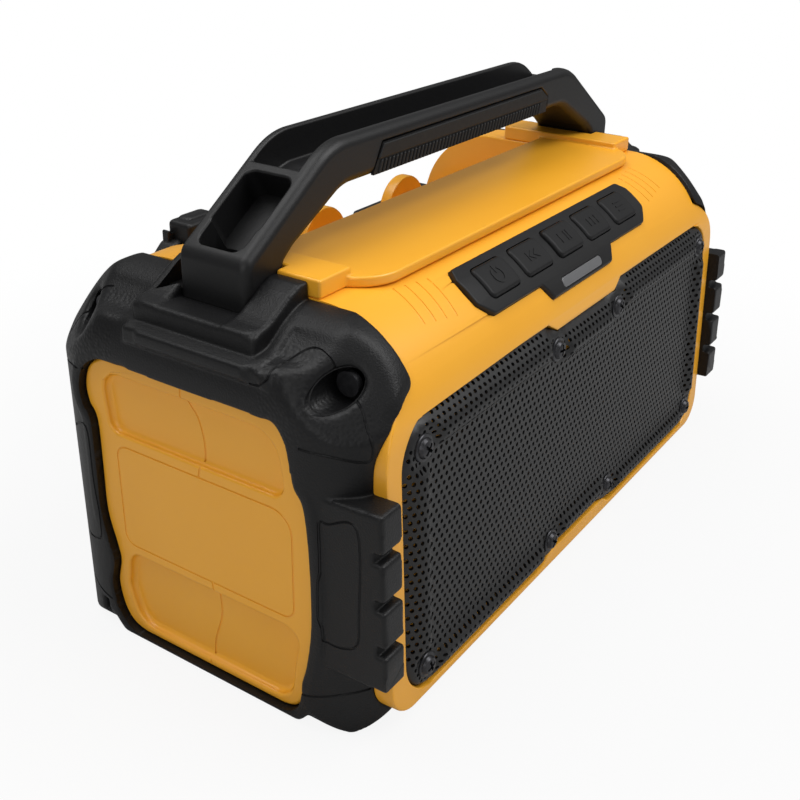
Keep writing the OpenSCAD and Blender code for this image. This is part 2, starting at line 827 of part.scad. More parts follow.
// Amplifier board on four posts of the rear shell
module main_board() {
    color("#1F5B35") difference() {
        translate([-main_w / 2, board_y, main_z]) cube([main_w, board_t, main_h]);
        for (s = [-1, 1], z = post_z) y_rod(s * post_x, z, 2.9, board_y - 1, board_y + 5);
    }
}

module radio_module() {
    color("#B9BCC0") translate([22 - main_w / 2, board_y - 2.4, main_z + 24])
        cube([radio_w, 2.4, radio_h]);
}

module capacitors() {
    color("#3B3F58") for (x = [-6, 7]) y_rod(x, main_z + 18, can_d, board_y - can_h, board_y);
}

module heat_sink() {
    color("#A9ACAF") {
        translate([sink_x, board_y - 3, main_z + 10]) cube([sink_w, 3, sink_h]);
        for (i = [0:5]) translate([sink_x + i * (sink_w - 2) / 5, board_y - sink_d, main_z + 10])
            cube([2, sink_d - 2, sink_h]);
    }
}

module board_screws() {
    color("#8C8F93") for (s = [-1, 1], z = post_z) {
        y_rod(s * post_x, z, 5, board_y - 1.6, board_y);
        y_rod(s * post_x, z, 2.5, board_y - 1, board_y + 9);
    }
}

// Small board behind the rear USB socket
module usb_board() {
    color("#1F5B35") translate([usb_x - usb_half, half_d - 16 - board_t, usb_z - usb_post - 3])
        cube([2 * usb_half, board_t, 2 * usb_post + 6]);
}

module usb_socket() {
    color("#C3C6CA") translate([usb_x, half_d - 16, usb_z]) {
        difference() {
            translate([-usb_w / 2, 0, -usb_h / 2]) cube([usb_w, usb_l, usb_h]);
            translate([usb_wall - usb_w / 2, 4, usb_wall - usb_h / 2])
                cube([usb_w - 2 * usb_wall, usb_l, usb_h - 2 * usb_wall]);
        }
        translate([0.2, 3.5, 1.2 - usb_h / 2]) cube([1.6, usb_l - 6.8, usb_h - 2.4]);
    }
}

module dock_screw_spots() {
    for (x = [-1, 1], z = [dock_z + 14, dock_z + 72])
        translate([x * (dock_w / 2 - 7), dock_y + dock_floor + 8, z]) rotate([90, 0, 0]) children();
}

// Slide-on battery dock with two grooved cheeks
module battery_dock() {
    cheek = (dock_w - channel_w) / 2;
    color("#2B2B2B") difference() {
        union() {
            translate([-dock_w / 2, dock_y, dock_z]) cube([dock_w, dock_floor, 88]);
            for (s = [0, 1]) mirror([s, 0, 0]) {
                translate([channel_w / 2, dock_y, dock_z]) cube([cheek, dock_t, 84]);
                translate([dock_w / 2 - 21, dock_y, dock_z + 80]) cube([21, 10, 22]);
                translate([dock_w / 2 - 21, dock_y, dock_z + 98]) cube([15, 10, body_h - dock_z - 99.5]);
            }
        }
        for (s = [0, 1]) mirror([s, 0, 0]) {
            translate([channel_w / 2 - 1, dock_y + 8, dock_z + 8]) cube([5, 5, body_h]);
        }
        dock_screw_spots() {
            translate([0, 0, -20]) cylinder(d = 7.4, h = 20);
            translate([0, 0, -1]) cylinder(d = screw_d + 2 * fit, h = 30);
        }
    }
}

module terminal_block() {
    color("#3A3A3A") translate([-terminal_w / 2, dock_y + dock_floor, terminal_z])
        cube([terminal_w, terminal_t, terminal_h]);
}

module terminal_blades() {
    color("#C9A24A") for (i = [-2:2])
        translate([i * 8 - 0.5, dock_y + dock_floor + terminal_t, terminal_z + 2]) cube([1, 5.5, 14]);
}

module dock_screws() {
    color("#8C8F93") dock_screw_spots() {
        translate([0, 0, -2.4]) cylinder(d = 6, h = 2.4);
        translate([0, 0, -0.5]) cylinder(d = screw_d, h = 15.5);
    }
}

front_shell();
rear_shell();
top_deck();
left_bumper();
right_bumper();
handle();
handle_grip();
handle_screws();
bumper_screws();
shell_screws();
grille();
grille_screws();
keypad();
power_key();
previous_key();
play_key();
next_key();
mode_key();
indicator_lens();
key_board();
key_switches();
left_basket();
right_basket();
left_cone();
right_cone();
left_magnet();
right_magnet();
driver_screws();
main_board();
radio_module();
capacitors();
heat_sink();
board_screws();
usb_board();
usb_socket();
battery_dock();
terminal_block();
terminal_blades();
dock_screws();
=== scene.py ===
import json
import math

import bpy
from mathutils import Matrix, Vector

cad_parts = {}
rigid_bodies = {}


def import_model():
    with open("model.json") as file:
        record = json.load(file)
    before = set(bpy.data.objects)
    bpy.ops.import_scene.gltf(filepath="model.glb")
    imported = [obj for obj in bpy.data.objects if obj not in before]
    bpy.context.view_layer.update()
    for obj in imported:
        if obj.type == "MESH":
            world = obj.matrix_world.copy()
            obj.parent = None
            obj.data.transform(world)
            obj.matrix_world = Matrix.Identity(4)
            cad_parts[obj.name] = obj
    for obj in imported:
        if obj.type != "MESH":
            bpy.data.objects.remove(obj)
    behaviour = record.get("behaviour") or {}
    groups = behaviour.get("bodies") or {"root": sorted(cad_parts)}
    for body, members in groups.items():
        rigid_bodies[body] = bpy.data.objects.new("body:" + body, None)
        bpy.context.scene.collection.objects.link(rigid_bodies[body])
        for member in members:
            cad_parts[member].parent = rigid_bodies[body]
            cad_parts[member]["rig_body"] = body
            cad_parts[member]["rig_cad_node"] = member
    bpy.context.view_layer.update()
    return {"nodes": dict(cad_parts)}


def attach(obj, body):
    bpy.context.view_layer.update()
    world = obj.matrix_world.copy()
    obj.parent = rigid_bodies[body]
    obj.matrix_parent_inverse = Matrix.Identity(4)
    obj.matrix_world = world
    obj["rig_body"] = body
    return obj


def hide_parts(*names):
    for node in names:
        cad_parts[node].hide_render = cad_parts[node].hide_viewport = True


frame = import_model()

# Front half of the housing: one injection moulding in yellow ABS, with the leaning baffle,
# the rounded shoulder and half of each end. Screws join it to the rear half, and it
# carries the drivers, the grille and the keypad.
MM = 0.001


def pick(piece):
    bpy.ops.object.select_all(action="DESELECT")
    piece.select_set(True)
    bpy.context.view_layer.objects.active = piece


def enter(kind):
    bpy.ops.object.mode_set(mode=kind)


def edit_all():
    enter("EDIT")
    bpy.ops.mesh.select_all(action="SELECT")


def named(name):
    piece = bpy.context.active_object
    piece.name = name
    piece.data.name = name
    return piece


def modify(piece, kind, **settings):
    pick(piece)
    step = piece.modifiers.new("step", kind)
    for name, value in settings.items():
        setattr(step, name, value)
    bpy.ops.object.modifier_apply(modifier="step")


def copy_of(node, name):
    pick(frame["nodes"][node])
    bpy.ops.object.duplicate()
    piece = named(name)
    del piece["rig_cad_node"]
    del piece["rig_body"]
    bpy.ops.object.parent_clear(type="CLEAR")
    edit_all()
    bpy.ops.mesh.customdata_custom_splitnormals_clear()
    bpy.ops.mesh.remove_doubles(threshold=0.002 * MM)
    bpy.ops.mesh.dissolve_limited(angle_limit=math.radians(0.4))
    enter("OBJECT")
    return piece


def soften(piece, width, segments=2, sharp=32, stays=None, chains=False):
    pick(piece)
    enter("EDIT")
    bpy.ops.mesh.select_mode(type="EDGE")
    bpy.ops.mesh.select_all(action="DESELECT")
    bpy.ops.mesh.edges_select_sharp(sharpness=math.radians(sharp))
    enter("OBJECT")
    verts = piece.data.vertices
    picked = [e for e in piece.data.edges if e.select]
    if stays:
        for edge in picked:
            edge.select = not all(stays(verts[i].co / MM) for i in edge.vertices)
    if chains:
        meet = [0] * len(verts)
        for edge in picked:
            for i in edge.vertices:
                meet[i] += 1
        for edge in picked:
            a, b = edge.vertices
            if meet[a] != 2 or meet[b] != 2 or (verts[a].co - verts[b].co).length < width * MM:
                edge.select = False
    for face in piece.data.polygons:
        face.select = False
    enter("EDIT")
    bpy.ops.transform.edge_bevelweight(value=1)
    bpy.ops.mesh.select_mode(type="VERT")
    enter("OBJECT")
    modify(piece, "BEVEL", limit_method="WEIGHT", width=width * MM, segments=segments,
           use_clamp_overlap=False, loop_slide=not chains)
    spent = piece.data.attributes.get("bevel_weight_edge")
    if spent:
        piece.data.attributes.remove(spent)


def smooth(piece, angle=38):
    pick(piece)
    bpy.ops.object.shade_smooth_by_angle(angle=math.radians(angle))
    modify(piece, "WEIGHTED_NORMAL", keep_sharp=True)


def rounded_corners(corners, steps=6):
    points = []
    for i, (u, v, r) in enumerate(corners):
        here = Vector((u, v))
        back = Vector(corners[i - 1][:2]) - here
        on = Vector(corners[(i + 1) % len(corners)][:2]) - here
        back.normalize()
        on.normalize()
        if not r:
            points.append(here)
            continue
        half = back.angle(on) / 2
        centre = here + (back + on).normalized() * (r / math.sin(half))
        first = here + back * (r / math.tan(half)) - centre
        last = here + on * (r / math.tan(half)) - centre
        start = math.atan2(first.y, first.x)
        sweep = (math.atan2(last.y, last.x) - start + math.pi) % math.tau - math.pi
        for k in range(steps + 1):
            a = start + sweep * k / steps
            points.append(centre + r * Vector((math.cos(a), math.sin(a))))
    return points


def slab(name, points, push):
    bpy.ops.object.select_all(action="DESELECT")
    bpy.ops.mesh.primitive_circle_add(vertices=len(points), radius=MM, fill_type="NGON")
    piece = named(name)
    for vert, point in zip(piece.data.vertices, points):
        vert.co = Vector(point) * MM
    edit_all()
    bpy.ops.mesh.extrude_region_move(TRANSFORM_OT_translate={"value": Vector(push) * MM})
    bpy.ops.mesh.select_all(action="SELECT")
    bpy.ops.mesh.normals_make_consistent(inside=False)
    enter("OBJECT")
    return piece


def cut(piece, cutter, operation="DIFFERENCE"):
    modify(piece, "BOOLEAN", operation=operation, solver="MANIFOLD", object=cutter)
    bpy.data.objects.remove(cutter)


def groove(piece, points, width, closed=False):
    bpy.ops.object.select_all(action="DESELECT")
    bpy.ops.curve.primitive_bezier_curve_add()
    line = bpy.context.active_object
    line.data.splines.clear()
    spline = line.data.splines.new("POLY")
    spline.points.add(len(points) - 1)
    for spot, point in zip(spline.points, points):
        spot.co = (*(Vector(point) * MM), 1)
    spline.use_cyclic_u = closed
    line.data.dimensions = "3D"
    line.data.bevel_depth = width / 2 * MM
    line.data.bevel_resolution = 1
    line.data.use_fill_caps = True
    bpy.ops.object.convert(target="MESH")
    edit_all()
    bpy.ops.mesh.remove_doubles(threshold=0.001 * MM)
    bpy.ops.mesh.normals_make_consistent(inside=False)
    enter("OBJECT")
    cut(piece, bpy.context.active_object)


def curved(points, steps=6):
    ends = [2 * Vector(points[0]) - Vector(points[1])]
    ends += [Vector(p) for p in points]
    ends += [2 * Vector(points[-1]) - Vector(points[-2])]
    path = []
    for a, b, c, d in zip(ends, ends[1:], ends[2:], ends[3:]):
        for k in range(steps):
            t = k / steps
            path.append(0.5 * (2 * b + (c - a) * t + (2 * a - 5 * b + 4 * c - d) * t ** 2
                               + (3 * b - 3 * c + d - a) * t ** 3))
    return path + [Vector(points[-1])]


def tint(code):
    parts = [int(code[i:i + 2], 16) / 255 for i in (1, 3, 5)]
    return tuple(c / 12.92 if c <= 0.04045 else ((c + 0.055) / 1.055) ** 2.4 for c in parts) + (1.0,)


def add_node(material, kind, settings, inputs):
    node = material.node_tree.nodes.new(kind)
    for name, value in settings.items():
        setattr(node, name, value)
    for name, value in inputs.items():
        if isinstance(value, bpy.types.NodeSocket):
            material.node_tree.links.new(value, node.inputs[name])
        else:
            node.inputs[name].default_value = value
    return node


def new_material(name):
    material = bpy.data.materials.new(name)
    material.use_nodes = True
    material.node_tree.nodes.clear()
    return material


def coat(material, shade, gloss, relief, **look):
    skin = add_node(material, "ShaderNodeBsdfPrincipled", {},
                    {"Base Color": shade.outputs[2], "Roughness": gloss.outputs["Result"],
                     "Normal": relief.outputs["Normal"], **look})
    add_node(material, "ShaderNodeOutputMaterial", {}, {"Surface": skin.outputs["BSDF"]})


def dress(piece, material):
    piece.data.materials.clear()
    piece.data.materials.append(material)


# Moulded ABS in yellow: a fine spark-eroded grain takes the edge off the gloss, and the
# colour is even with a slight drift where the melt flowed. Grain is about 0.45 mm.
abs_yellow = new_material("moulded_abs_yellow")
where = add_node(abs_yellow, "ShaderNodeTexCoord", {}, {})
flow = add_node(abs_yellow, "ShaderNodeTexNoise", {},
                {"Vector": where.outputs["Object"], "Scale": 1 / (45 * MM), "Detail": 3.0})
shade = add_node(abs_yellow, "ShaderNodeMix", {"data_type": "RGBA"},
                 {0: flow.outputs["Fac"], 6: tint("#EEA522"), 7: tint("#F4B033")})
grain = add_node(abs_yellow, "ShaderNodeTexNoise", {},
                 {"Vector": where.outputs["Object"], "Scale": 1 / (0.45 * MM), "Detail": 2.0})
gloss = add_node(abs_yellow, "ShaderNodeMapRange", {},
                 {"Value": grain.outputs["Fac"], "To Min": 0.27, "To Max": 0.39})
relief = add_node(abs_yellow, "ShaderNodeBump", {},
                  {"Height": grain.outputs["Fac"], "Strength": 0.12, "Distance": 0.06 * MM})
coat(abs_yellow, shade, gloss, relief, IOR=1.53)

# Each end panel has a raised border, two sunken fields with a rib between them, a bare label
# field edged by a fine line, and the wavy parting line of the two halves.
END_X, PANEL_ROOT, SHELL_END = 124, 119, 120.05
PANEL = [(-27, 96.8), (0, 96.8), (28, 96.8), (35, 95.8), (40, 92), (42.2, 86), (41.6, 80), (38.9, 74.5),
         (38.9, 58), (38.9, 43), (36, 31), (35.4, 26), (37.2, 18), (36, 10), (33.8, 5.6), (31, 3.2),
         (27.5, 2.1), (23, 1.9), (0, 1.9), (-26, 1.9), (-31, 2.1), (-34.5, 3.4), (-37, 6.4), (-38.3, 11),
         (-38.8, 16), (-40.6, 23), (-42.4, 37), (-42.2, 58), (-40.6, 74), (-37.6, 79.5), (-36.4, 87),
         (-35.2, 92), (-32.4, 95.6)]
FIELDS = ([(-33, 72.8, 4), (33, 72.8, 4), (35, 92, 6), (-30, 92, 9)],
          [(-33, 4.8, 7), (28, 4.8, 8), (32, 18, 8), (30, 31, 5), (-37, 31, 5), (-34.5, 18, 8)])
SUNK = 2.3
SEAM = [(2.6, 98), (2.8, 92), (-0.8, 87), (-2.6, 81), (-2.8, 75), (-1.8, 69.2)]
SEAM_LOW = [(-4.3, 34.6), (-5.2, 28), (-5.1, 21), (-1.8, 10), (-1.6, 0)]


def ring_of(points, steps=5):
    closed = [(0, *points[-1])] + [(0, *p) for p in points] + [(0, *points[0]), (0, *points[1])]
    return curved(closed, steps)[steps:-steps - 1]


def end_panels(piece, way):
    label = rounded_corners([(-35, 34.5, 4), (31, 34.5, 4), (31, 69, 4), (-35, 69, 7)])
    for side in (-1, 1):
        outline = [(side * PANEL_ROOT, p.y, p.z) for p in ring_of(PANEL)]
        panel = slab("panel", outline, (side * (END_X - PANEL_ROOT), 0, 0))
        soften(panel, 1.3, segments=4, sharp=60, stays=lambda p: abs(p.x) < END_X - 1)
        for corners in FIELDS:
            points = [(side * (END_X + 3), p.x, p.y) for p in rounded_corners(corners)]
            field = slab("field", points, (-side * (3 + SUNK), 0, 0))
            soften(field, 1.6, segments=4, sharp=60, stays=lambda p: abs(p.x) > END_X + 2)
            cut(panel, field)
        soften(panel, 1.0, segments=3, sharp=50, stays=lambda p: abs(p.x) < END_X - 0.1)
        groove(panel, [(side * END_X, p.x, p.y) for p in label], 0.7, closed=True)
        for seam in (SEAM, SEAM_LOW):
            line = curved([(0, y, z) for y, z in seam])
            for depth in (0, SUNK):
                groove(panel, [(side * (END_X - depth), p.y, p.z) for p in line], 0.8)
        corners = ((117, -2), (127, -2), (127, 110), (117, 110))
        cut(panel, slab("half", [(side * u, 0, v) for u, v in corners], (0, -way * 60, 0)))
        corners = ((SHELL_END, -5), (130, -5), (130, 130), (SHELL_END, 130))
        cut(piece, slab("old_panel", [(side * u, -80, v) for u, v in corners], (0, 160, 0)))
        cut(piece, panel, "UNION")


# The handle legs stand in two notches of the shells, and the shoulder is part of a cylinder.
LEG_ROOM_Y = 12.2
SHOULDER_Y, SHOULDER_Z, SHOULDER_R = -28, 88.5, 32


def leg_room(piece):
    for side in (-1, 1):
        corners = [(107, 113), (113, 113), (113, 119), (107, 119)]
        points = [(side * u, -LEG_ROOM_Y, v) for u, v in corners]
        cut(piece, slab("leg_room", points, (0, 2 * LEG_ROOM_Y, 0)))


def keeps_sharp(p):
    return abs(p.y) < 0.01 or 96 < abs(p.x) < 101 or abs(p.x) > 117


front_housing = copy_of("front_shell", "front_housing")
soften(front_housing, 0.8, stays=keeps_sharp, chains=True)
end_panels(front_housing, -1)
for side in (-1, 1):
    for i in range(4):
        x = side * (82 - 4.6 * i)
        turns = [math.radians(50 + 3.2 * k - 1.5 * i) for k in range(9)]
        line = [(x - side * 0.35 * k, SHOULDER_Y - SHOULDER_R * math.cos(a),
                 SHOULDER_Z + SHOULDER_R * math.sin(a)) for k, a in enumerate(turns)]
        groove(front_housing, line, 0.7)
leg_room(front_housing)
smooth(front_housing)
dress(front_housing, abs_yellow)
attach(front_housing, "body")
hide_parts("front_shell")

# Rear half of the housing: the same yellow ABS, with the sloping back of the deck, the
# recess that takes the battery dock and the socket opening. It is screwed to the front half.
rear_housing = copy_of("rear_shell", "rear_housing")
soften(rear_housing, 0.8, stays=keeps_sharp, chains=True)
end_panels(rear_housing, 1)
leg_room(rear_housing)
smooth(rear_housing)
dress(rear_housing, abs_yellow)
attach(rear_housing, "body")
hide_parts("rear_shell")

# Deck under the handle: a separate moulding in the same ABS that closes the top of the two
# halves and stands a little above the shoulder, with a block at each end beside the handle legs.
deck = copy_of("top_deck", "deck")
soften(deck, 0.8, segments=3)
smooth(deck)
dress(deck, abs_yellow)
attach(deck, "body")
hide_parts("top_deck")

# Drivers behind the grille: two full-range units with pressed steel baskets, paper cones
# with a rolled rubber surround, and ferrite ring magnets. Screws hold them to the baffle.


def mottled(name, dark, light, size, rough, ior=1.5, metallic=0.0, bump=0.1):
    material = new_material(name)
    where = add_node(material, "ShaderNodeTexCoord", {}, {})
    cloud = add_node(material, "ShaderNodeTexNoise", {},
                     {"Vector": where.outputs["Object"], "Scale": 1 / (size * MM), "Detail": 4.0})
    shade = add_node(material, "ShaderNodeMix", {"data_type": "RGBA"},
                     {0: cloud.outputs["Fac"], 6: tint(dark), 7: tint(light)})
    gloss = add_node(material, "ShaderNodeMapRange", {},
                     {"Value": cloud.outputs["Fac"], "To Min": rough[0], "To Max": rough[1]})
    relief = add_node(material, "ShaderNodeBump", {},
                      {"Height": cloud.outputs["Fac"], "Strength": bump, "Distance": 0.1 * MM})
    coat(material, shade, gloss, relief, IOR=ior, Metallic=metallic)
    return material


# Pressed steel is grey with a passivated bloom, pulp paper is fibrous and matt, ferrite is a
# dull ceramic with a sintered grain, and zinc plate is bright. Fibres and grain are 0.5 to 3 mm.
pressed_steel = mottled("pressed_steel", "#3E4043", "#55585C", 3, (0.35, 0.5), metallic=0.9)
pulp_paper = mottled("pulp_paper_black", "#151516", "#242426", 0.5, (0.75, 0.95), bump=0.4)
ferrite = mottled("sintered_ferrite", "#1F1F21", "#2E2E31", 0.8, (0.6, 0.8), bump=0.3)
zinc = mottled("zinc_plated_steel", "#A9ABAD", "#C6C8CA", 2, (0.25, 0.4), metallic=1.0)
for side in ("left", "right"):
    dress(frame["nodes"][side + "_basket"], pressed_steel)
    dress(frame["nodes"][side + "_cone"], pulp_paper)
    dress(frame["nodes"][side + "_magnet"], ferrite)
dress(frame["nodes"]["driver_screws"], zinc)

# Electronics: green solder-masked boards, a tinned shield can over the radio, aluminium can
# capacitors and heat sink, a stamped steel socket, and the push switches under the keys.
solder_mask = mottled("solder_mask_green", "#17492B", "#1F5B35", 2.5, (0.3, 0.45))
tinned_steel = mottled("tinned_steel", "#A6A9AD", "#C0C3C7", 4, (0.25, 0.4), metallic=1.0)
sleeved_can = mottled("sleeved_aluminium_can", "#2F3348", "#3F435B", 3, (0.3, 0.45))
aluminium = mottled("extruded_aluminium", "#9FA2A6", "#B7BABD", 1.5, (0.35, 0.5), metallic=1.0)
switch_plastic = mottled("switch_plastic", "#B9B9B4", "#CFCFCA", 1.5, (0.4, 0.55))
for node in ("main_board", "usb_board", "key_board"):
    dress(frame["nodes"][node], solder_mask)
dress(frame["nodes"]["radio_module"], tinned_steel)
dress(frame["nodes"]["usb_socket"], tinned_steel)
dress(frame["nodes"]["capacitors"], sleeved_can)
dress(frame["nodes"]["heat_sink"], aluminium)
dress(frame["nodes"]["key_switches"], switch_plastic)
for node in ("board_screws", "shell_screws", "handle_screws", "dock_screws"):
    dress(frame["nodes"][node], zinc)

# Speaker grille: mild steel sheet, punched in staggered rows, pressed to a raised rim with a
# dished seat round each screw, then powder coated black. Eight screws hold it.
GRILLE_W, GRILLE_H, GRILLE_R = 218, 88.5, 14
GRILLE_MID = 51.75
SEAT_Y = -56
PITCH, ROW, HOLE = 2.7, 2.34, 1.5
COLUMNS, ROWS = 84, 42
FIELD, RIM, EDGE = 4.4, 6.8, 1.6
BAND, DRAWN, SLOPE = 8, 3.4, 4.5
MARGIN, LIP = 0.5, 0.4
NOTCH, NOTCH_RUN, NOTCH_DEEP, SLANT_SQUARED = 21.7, 5.5, 3.4, 41.8
NOTCH_CLEAR = 4.7
SEAT_R, SEAT_BLEND = 4.6, 4
LEAN, LEAN_Y, LEAN_FOOT = math.radians(2.6), -60, -60.033
SCREWS = [(sx * u, sz * 35.25) for u in (100, 22.6) for sx in (-1, 1) for sz in (-1, 1)]


def leaned(x, y, z):
    back = y - LEAN_Y
    rise = z - SHOULDER_Z
    return Vector((x, LEAN_FOOT + back * math.cos(LEAN) + rise * math.sin(LEAN),
                   SHOULDER_Z - back * math.sin(LEAN) + rise * math.cos(LEAN)))


def grille_loop(inset):
    w, h, r = GRILLE_W / 2 - inset, GRILLE_H / 2 - inset, GRILLE_R - inset
    n0, n1, deep = NOTCH + NOTCH_RUN + inset / 2, NOTCH + inset / 2, h - NOTCH_DEEP
    top = [(w, h, r), (n0, h, 1.2), (n1, deep, 1.2), (-n1, deep, 1.2), (-n0, h, 1.2), (-w, h, r)]
    bare = rounded_corners(top + [(-u, -v, q) for u, v, q in top], 7)
    loop = []
    for a, b in zip(bare, bare[1:] + bare[:1]):
        count = max(1, round((b - a).length / 2))
        loop += [a.lerp(b, k / count) for k in range(count)]
    return loop


def edge_distance(u, v):
    a = abs(u) - GRILLE_W / 2 + GRILLE_R
    b = abs(v) - GRILLE_H / 2 + GRILLE_R
    rim = GRILLE_R - math.hypot(max(a, 0), max(b, 0)) - min(max(a, b), 0)
    along, up = abs(u) - NOTCH, abs(v) - GRILLE_H / 2 + NOTCH_DEEP
    t = min(max((along * NOTCH_RUN + up * NOTCH_DEEP) / SLANT_SQUARED, 0), 1)
    slant = math.hypot(along - NOTCH_RUN * t, up - NOTCH_DEEP * t)
    return min(rim, math.hypot(max(along, 0), up), slant)


def ease(t):
    t = min(max(t, 0), 1)
    return t * t * (3 - 2 * t)


def sheet_height(u, v):
    d = max(edge_distance(u, v), 0)
    if d < BAND:
        height = EDGE + (RIM - EDGE) * math.sin(math.pi / 2 * d / BAND)
    else:
        height = RIM - (RIM - FIELD) * ease((d - BAND) / SLOPE)
    near = min(math.hypot(u - a, v - b) for a, b in SCREWS)
    return FIELD + (height - FIELD) * ease((near - SEAT_R) / SEAT_BLEND)


def clear_of_edge(u, v):
    into = abs(v) - GRILLE_H / 2 + NOTCH_CLEAR
    notch = abs(v) > GRILLE_H / 2 - NOTCH_CLEAR and abs(u) < 23 + into * 1.6
    return edge_distance(u, v) > MARGIN + 0.06 and not notch


def pressed(x, half):
    past = abs(x) - half + BAND
    return x if past < 0 else math.copysign(half - BAND + past * BAND / (BAND + DRAWN), x)


bpy.ops.object.select_all(action="DESELECT")
bpy.ops.mesh.primitive_circle_add(vertices=8, radius=HOLE / 2 * MM, fill_type="NOTHING")
sheet = named("perforated_grille")
punched = sheet.vertex_groups.new(name="punched")
punched.add(range(8), 1, "REPLACE")
edit_all()
bpy.ops.mesh.extrude_edges_move()
enter("OBJECT")
for vert in sheet.data.vertices[8:]:
    big = max(abs(vert.co.x), abs(vert.co.y))
    vert.co = (round(vert.co.x / big) * PITCH / 2 * MM, round(vert.co.y / big) * ROW / 2 * MM, 0)
punched.remove(range(8, 16))
for count, offset in ((COLUMNS, (PITCH, 0, 0)), (2, (PITCH / 2, ROW, 0)), (ROWS // 2, (0, 2 * ROW, 0))):
    modify(sheet, "ARRAY", count=count, use_relative_offset=False, use_constant_offset=True,
           constant_offset_displace=Vector(offset) * MM, use_merge_vertices=True,
           merge_threshold=0.01 * MM)
middle = Vector(((COLUMNS - 0.5) * PITCH / 2, (ROWS - 1) * ROW / 2, 0)) * MM
for vert in sheet.data.vertices:
    vert.co -= middle
enter("EDIT")
bpy.ops.mesh.select_mode(type="FACE")
bpy.ops.mesh.select_all(action="DESELECT")
enter("OBJECT")
for face in sheet.data.polygons:
    spot = face.center / MM
    row = round((spot.y + middle.y / MM) / ROW)
    shift = PITCH / 2 * (row % 2) - middle.x / MM
    u = round((spot.x - shift) / PITCH) * PITCH + shift
    v = row * ROW - middle.y / MM
    corners = [(pressed(u + a * PITCH / 2, GRILLE_W / 2), pressed(v + b * ROW / 2, GRILLE_H / 2))
               for a in (-1, 1) for b in (-1, 1)]
    face.select = not all(clear_of_edge(*corner) for corner in corners)
for vert in sheet.data.vertices:
    vert.co.x = pressed(vert.co.x / MM, GRILLE_W / 2) * MM
    vert.co.y = pressed(vert.co.y / MM, GRILLE_H / 2) * MM
enter("EDIT")
bpy.ops.mesh.delete(type="FACE")
bpy.ops.mesh.select_mode(type="EDGE")
bpy.ops.mesh.select_all(action="DESELECT")
bpy.ops.mesh.select_non_manifold(use_wire=False, use_multi_face=False, use_non_contiguous=False,
                                 use_verts=False)
enter("OBJECT")
holes = {v.index for v in sheet.data.vertices if any(g.weight > 0.5 for g in v.groups)}
for edge in sheet.data.edges:
    if holes.issuperset(edge.vertices):
        edge.select = False
ragged = [e.index for e in sheet.data.edges if e.select]
loop = grille_loop(MARGIN)
turned_way = math.copysign(1, sum(a.cross(b) for a, b in zip(loop, loop[1:])))
start = len(sheet.data.vertices)
enter("EDIT")
bpy.ops.mesh.primitive_circle_add(vertices=len(loop), radius=0.1, fill_type="NOTHING")
enter("OBJECT")
for vert, point in zip(sheet.data.vertices[start:], loop):
    vert.co = (point.x * MM, point.y * MM, 0)
for i in ragged:
    sheet.data.edges[i].select = True
enter("EDIT")
bpy.ops.mesh.fill(use_beauty=True)
bpy.ops.mesh.select_all(action="DESELECT")
enter("OBJECT")
for edge in sheet.data.edges:
    a, b = sorted(edge.vertices)
    edge.select = a >= start and b - a in (1, len(loop) - 1)
for turn in range(2):
    enter("EDIT")
    bpy.ops.mesh.extrude_edges_move()
    enter("OBJECT")
    if turn == 0:
        for vert in sheet.data.vertices:
            if vert.select:
                flat = Vector((vert.co.x, vert.co.y)) / MM
                i = min(range(len(loop)), key=lambda k: (loop[k] - flat).length)
                along = (loop[(i + 1) % len(loop)] - loop[i - 1]).normalized()
                flat += Vector((along.y, -along.x)) * turned_way * MARGIN
                vert.co = (flat.x * MM, flat.y * MM, 0)
skirt = {v.index for v in sheet.data.vertices if v.select}
for vert in sheet.data.vertices:
    u, v = vert.co.x / MM, vert.co.y / MM
    height = LIP if vert.index in skirt else sheet_height(u, v)
    vert.co = leaned(u, SEAT_Y - height, GRILLE_MID + v) * MM
edit_all()
bpy.ops.mesh.normals_make_consistent(inside=False)
enter("OBJECT")
if sum(f.normal.y * f.area for f in sheet.data.polygons) > 0:
    enter("EDIT")
    bpy.ops.mesh.flip_normals()
    enter("OBJECT")
modify(sheet, "SOLIDIFY", thickness=1.0 * MM, offset=-1)
bpy.ops.object.shade_smooth_by_angle(angle=math.radians(40))

# Powder coat in black: a faint orange peel of about 1.2 mm and specks of lighter grey.
powder_coat = new_material("powder_coated_steel_black")
where = add_node(powder_coat, "ShaderNodeTexCoord", {}, {})
peel = add_node(powder_coat, "ShaderNodeTexNoise", {},
                {"Vector": where.outputs["Object"], "Scale": 1 / (1.2 * MM), "Detail": 3.0})
speck = add_node(powder_coat, "ShaderNodeMapRange", {},
                 {"Value": peel.outputs["Fac"], "From Min": 0.35, "From Max": 0.75})
shade = add_node(powder_coat, "ShaderNodeMix", {"data_type": "RGBA"},
                 {0: speck.outputs["Result"], 6: tint("#111112"), 7: tint("#1B1B1C")})
gloss = add_node(powder_coat, "ShaderNodeMapRange", {},
                 {"Value": peel.outputs["Fac"], "To Min": 0.4, "To Max": 0.55})
relief = add_node(powder_coat, "ShaderNodeBump", {},
                  {"Height": peel.outputs["Fac"], "Strength": 0.15, "Distance": 0.05 * MM})
coat(powder_coat, shade, gloss, relief, IOR=1.5)
dress(sheet, powder_coat)
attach(sheet, "body")
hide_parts("grille")

# Grille screws: eight washer-head screws with a cross recess, in steel with black zinc. One is
# turned and cut, then copied to each seat in the sheet.


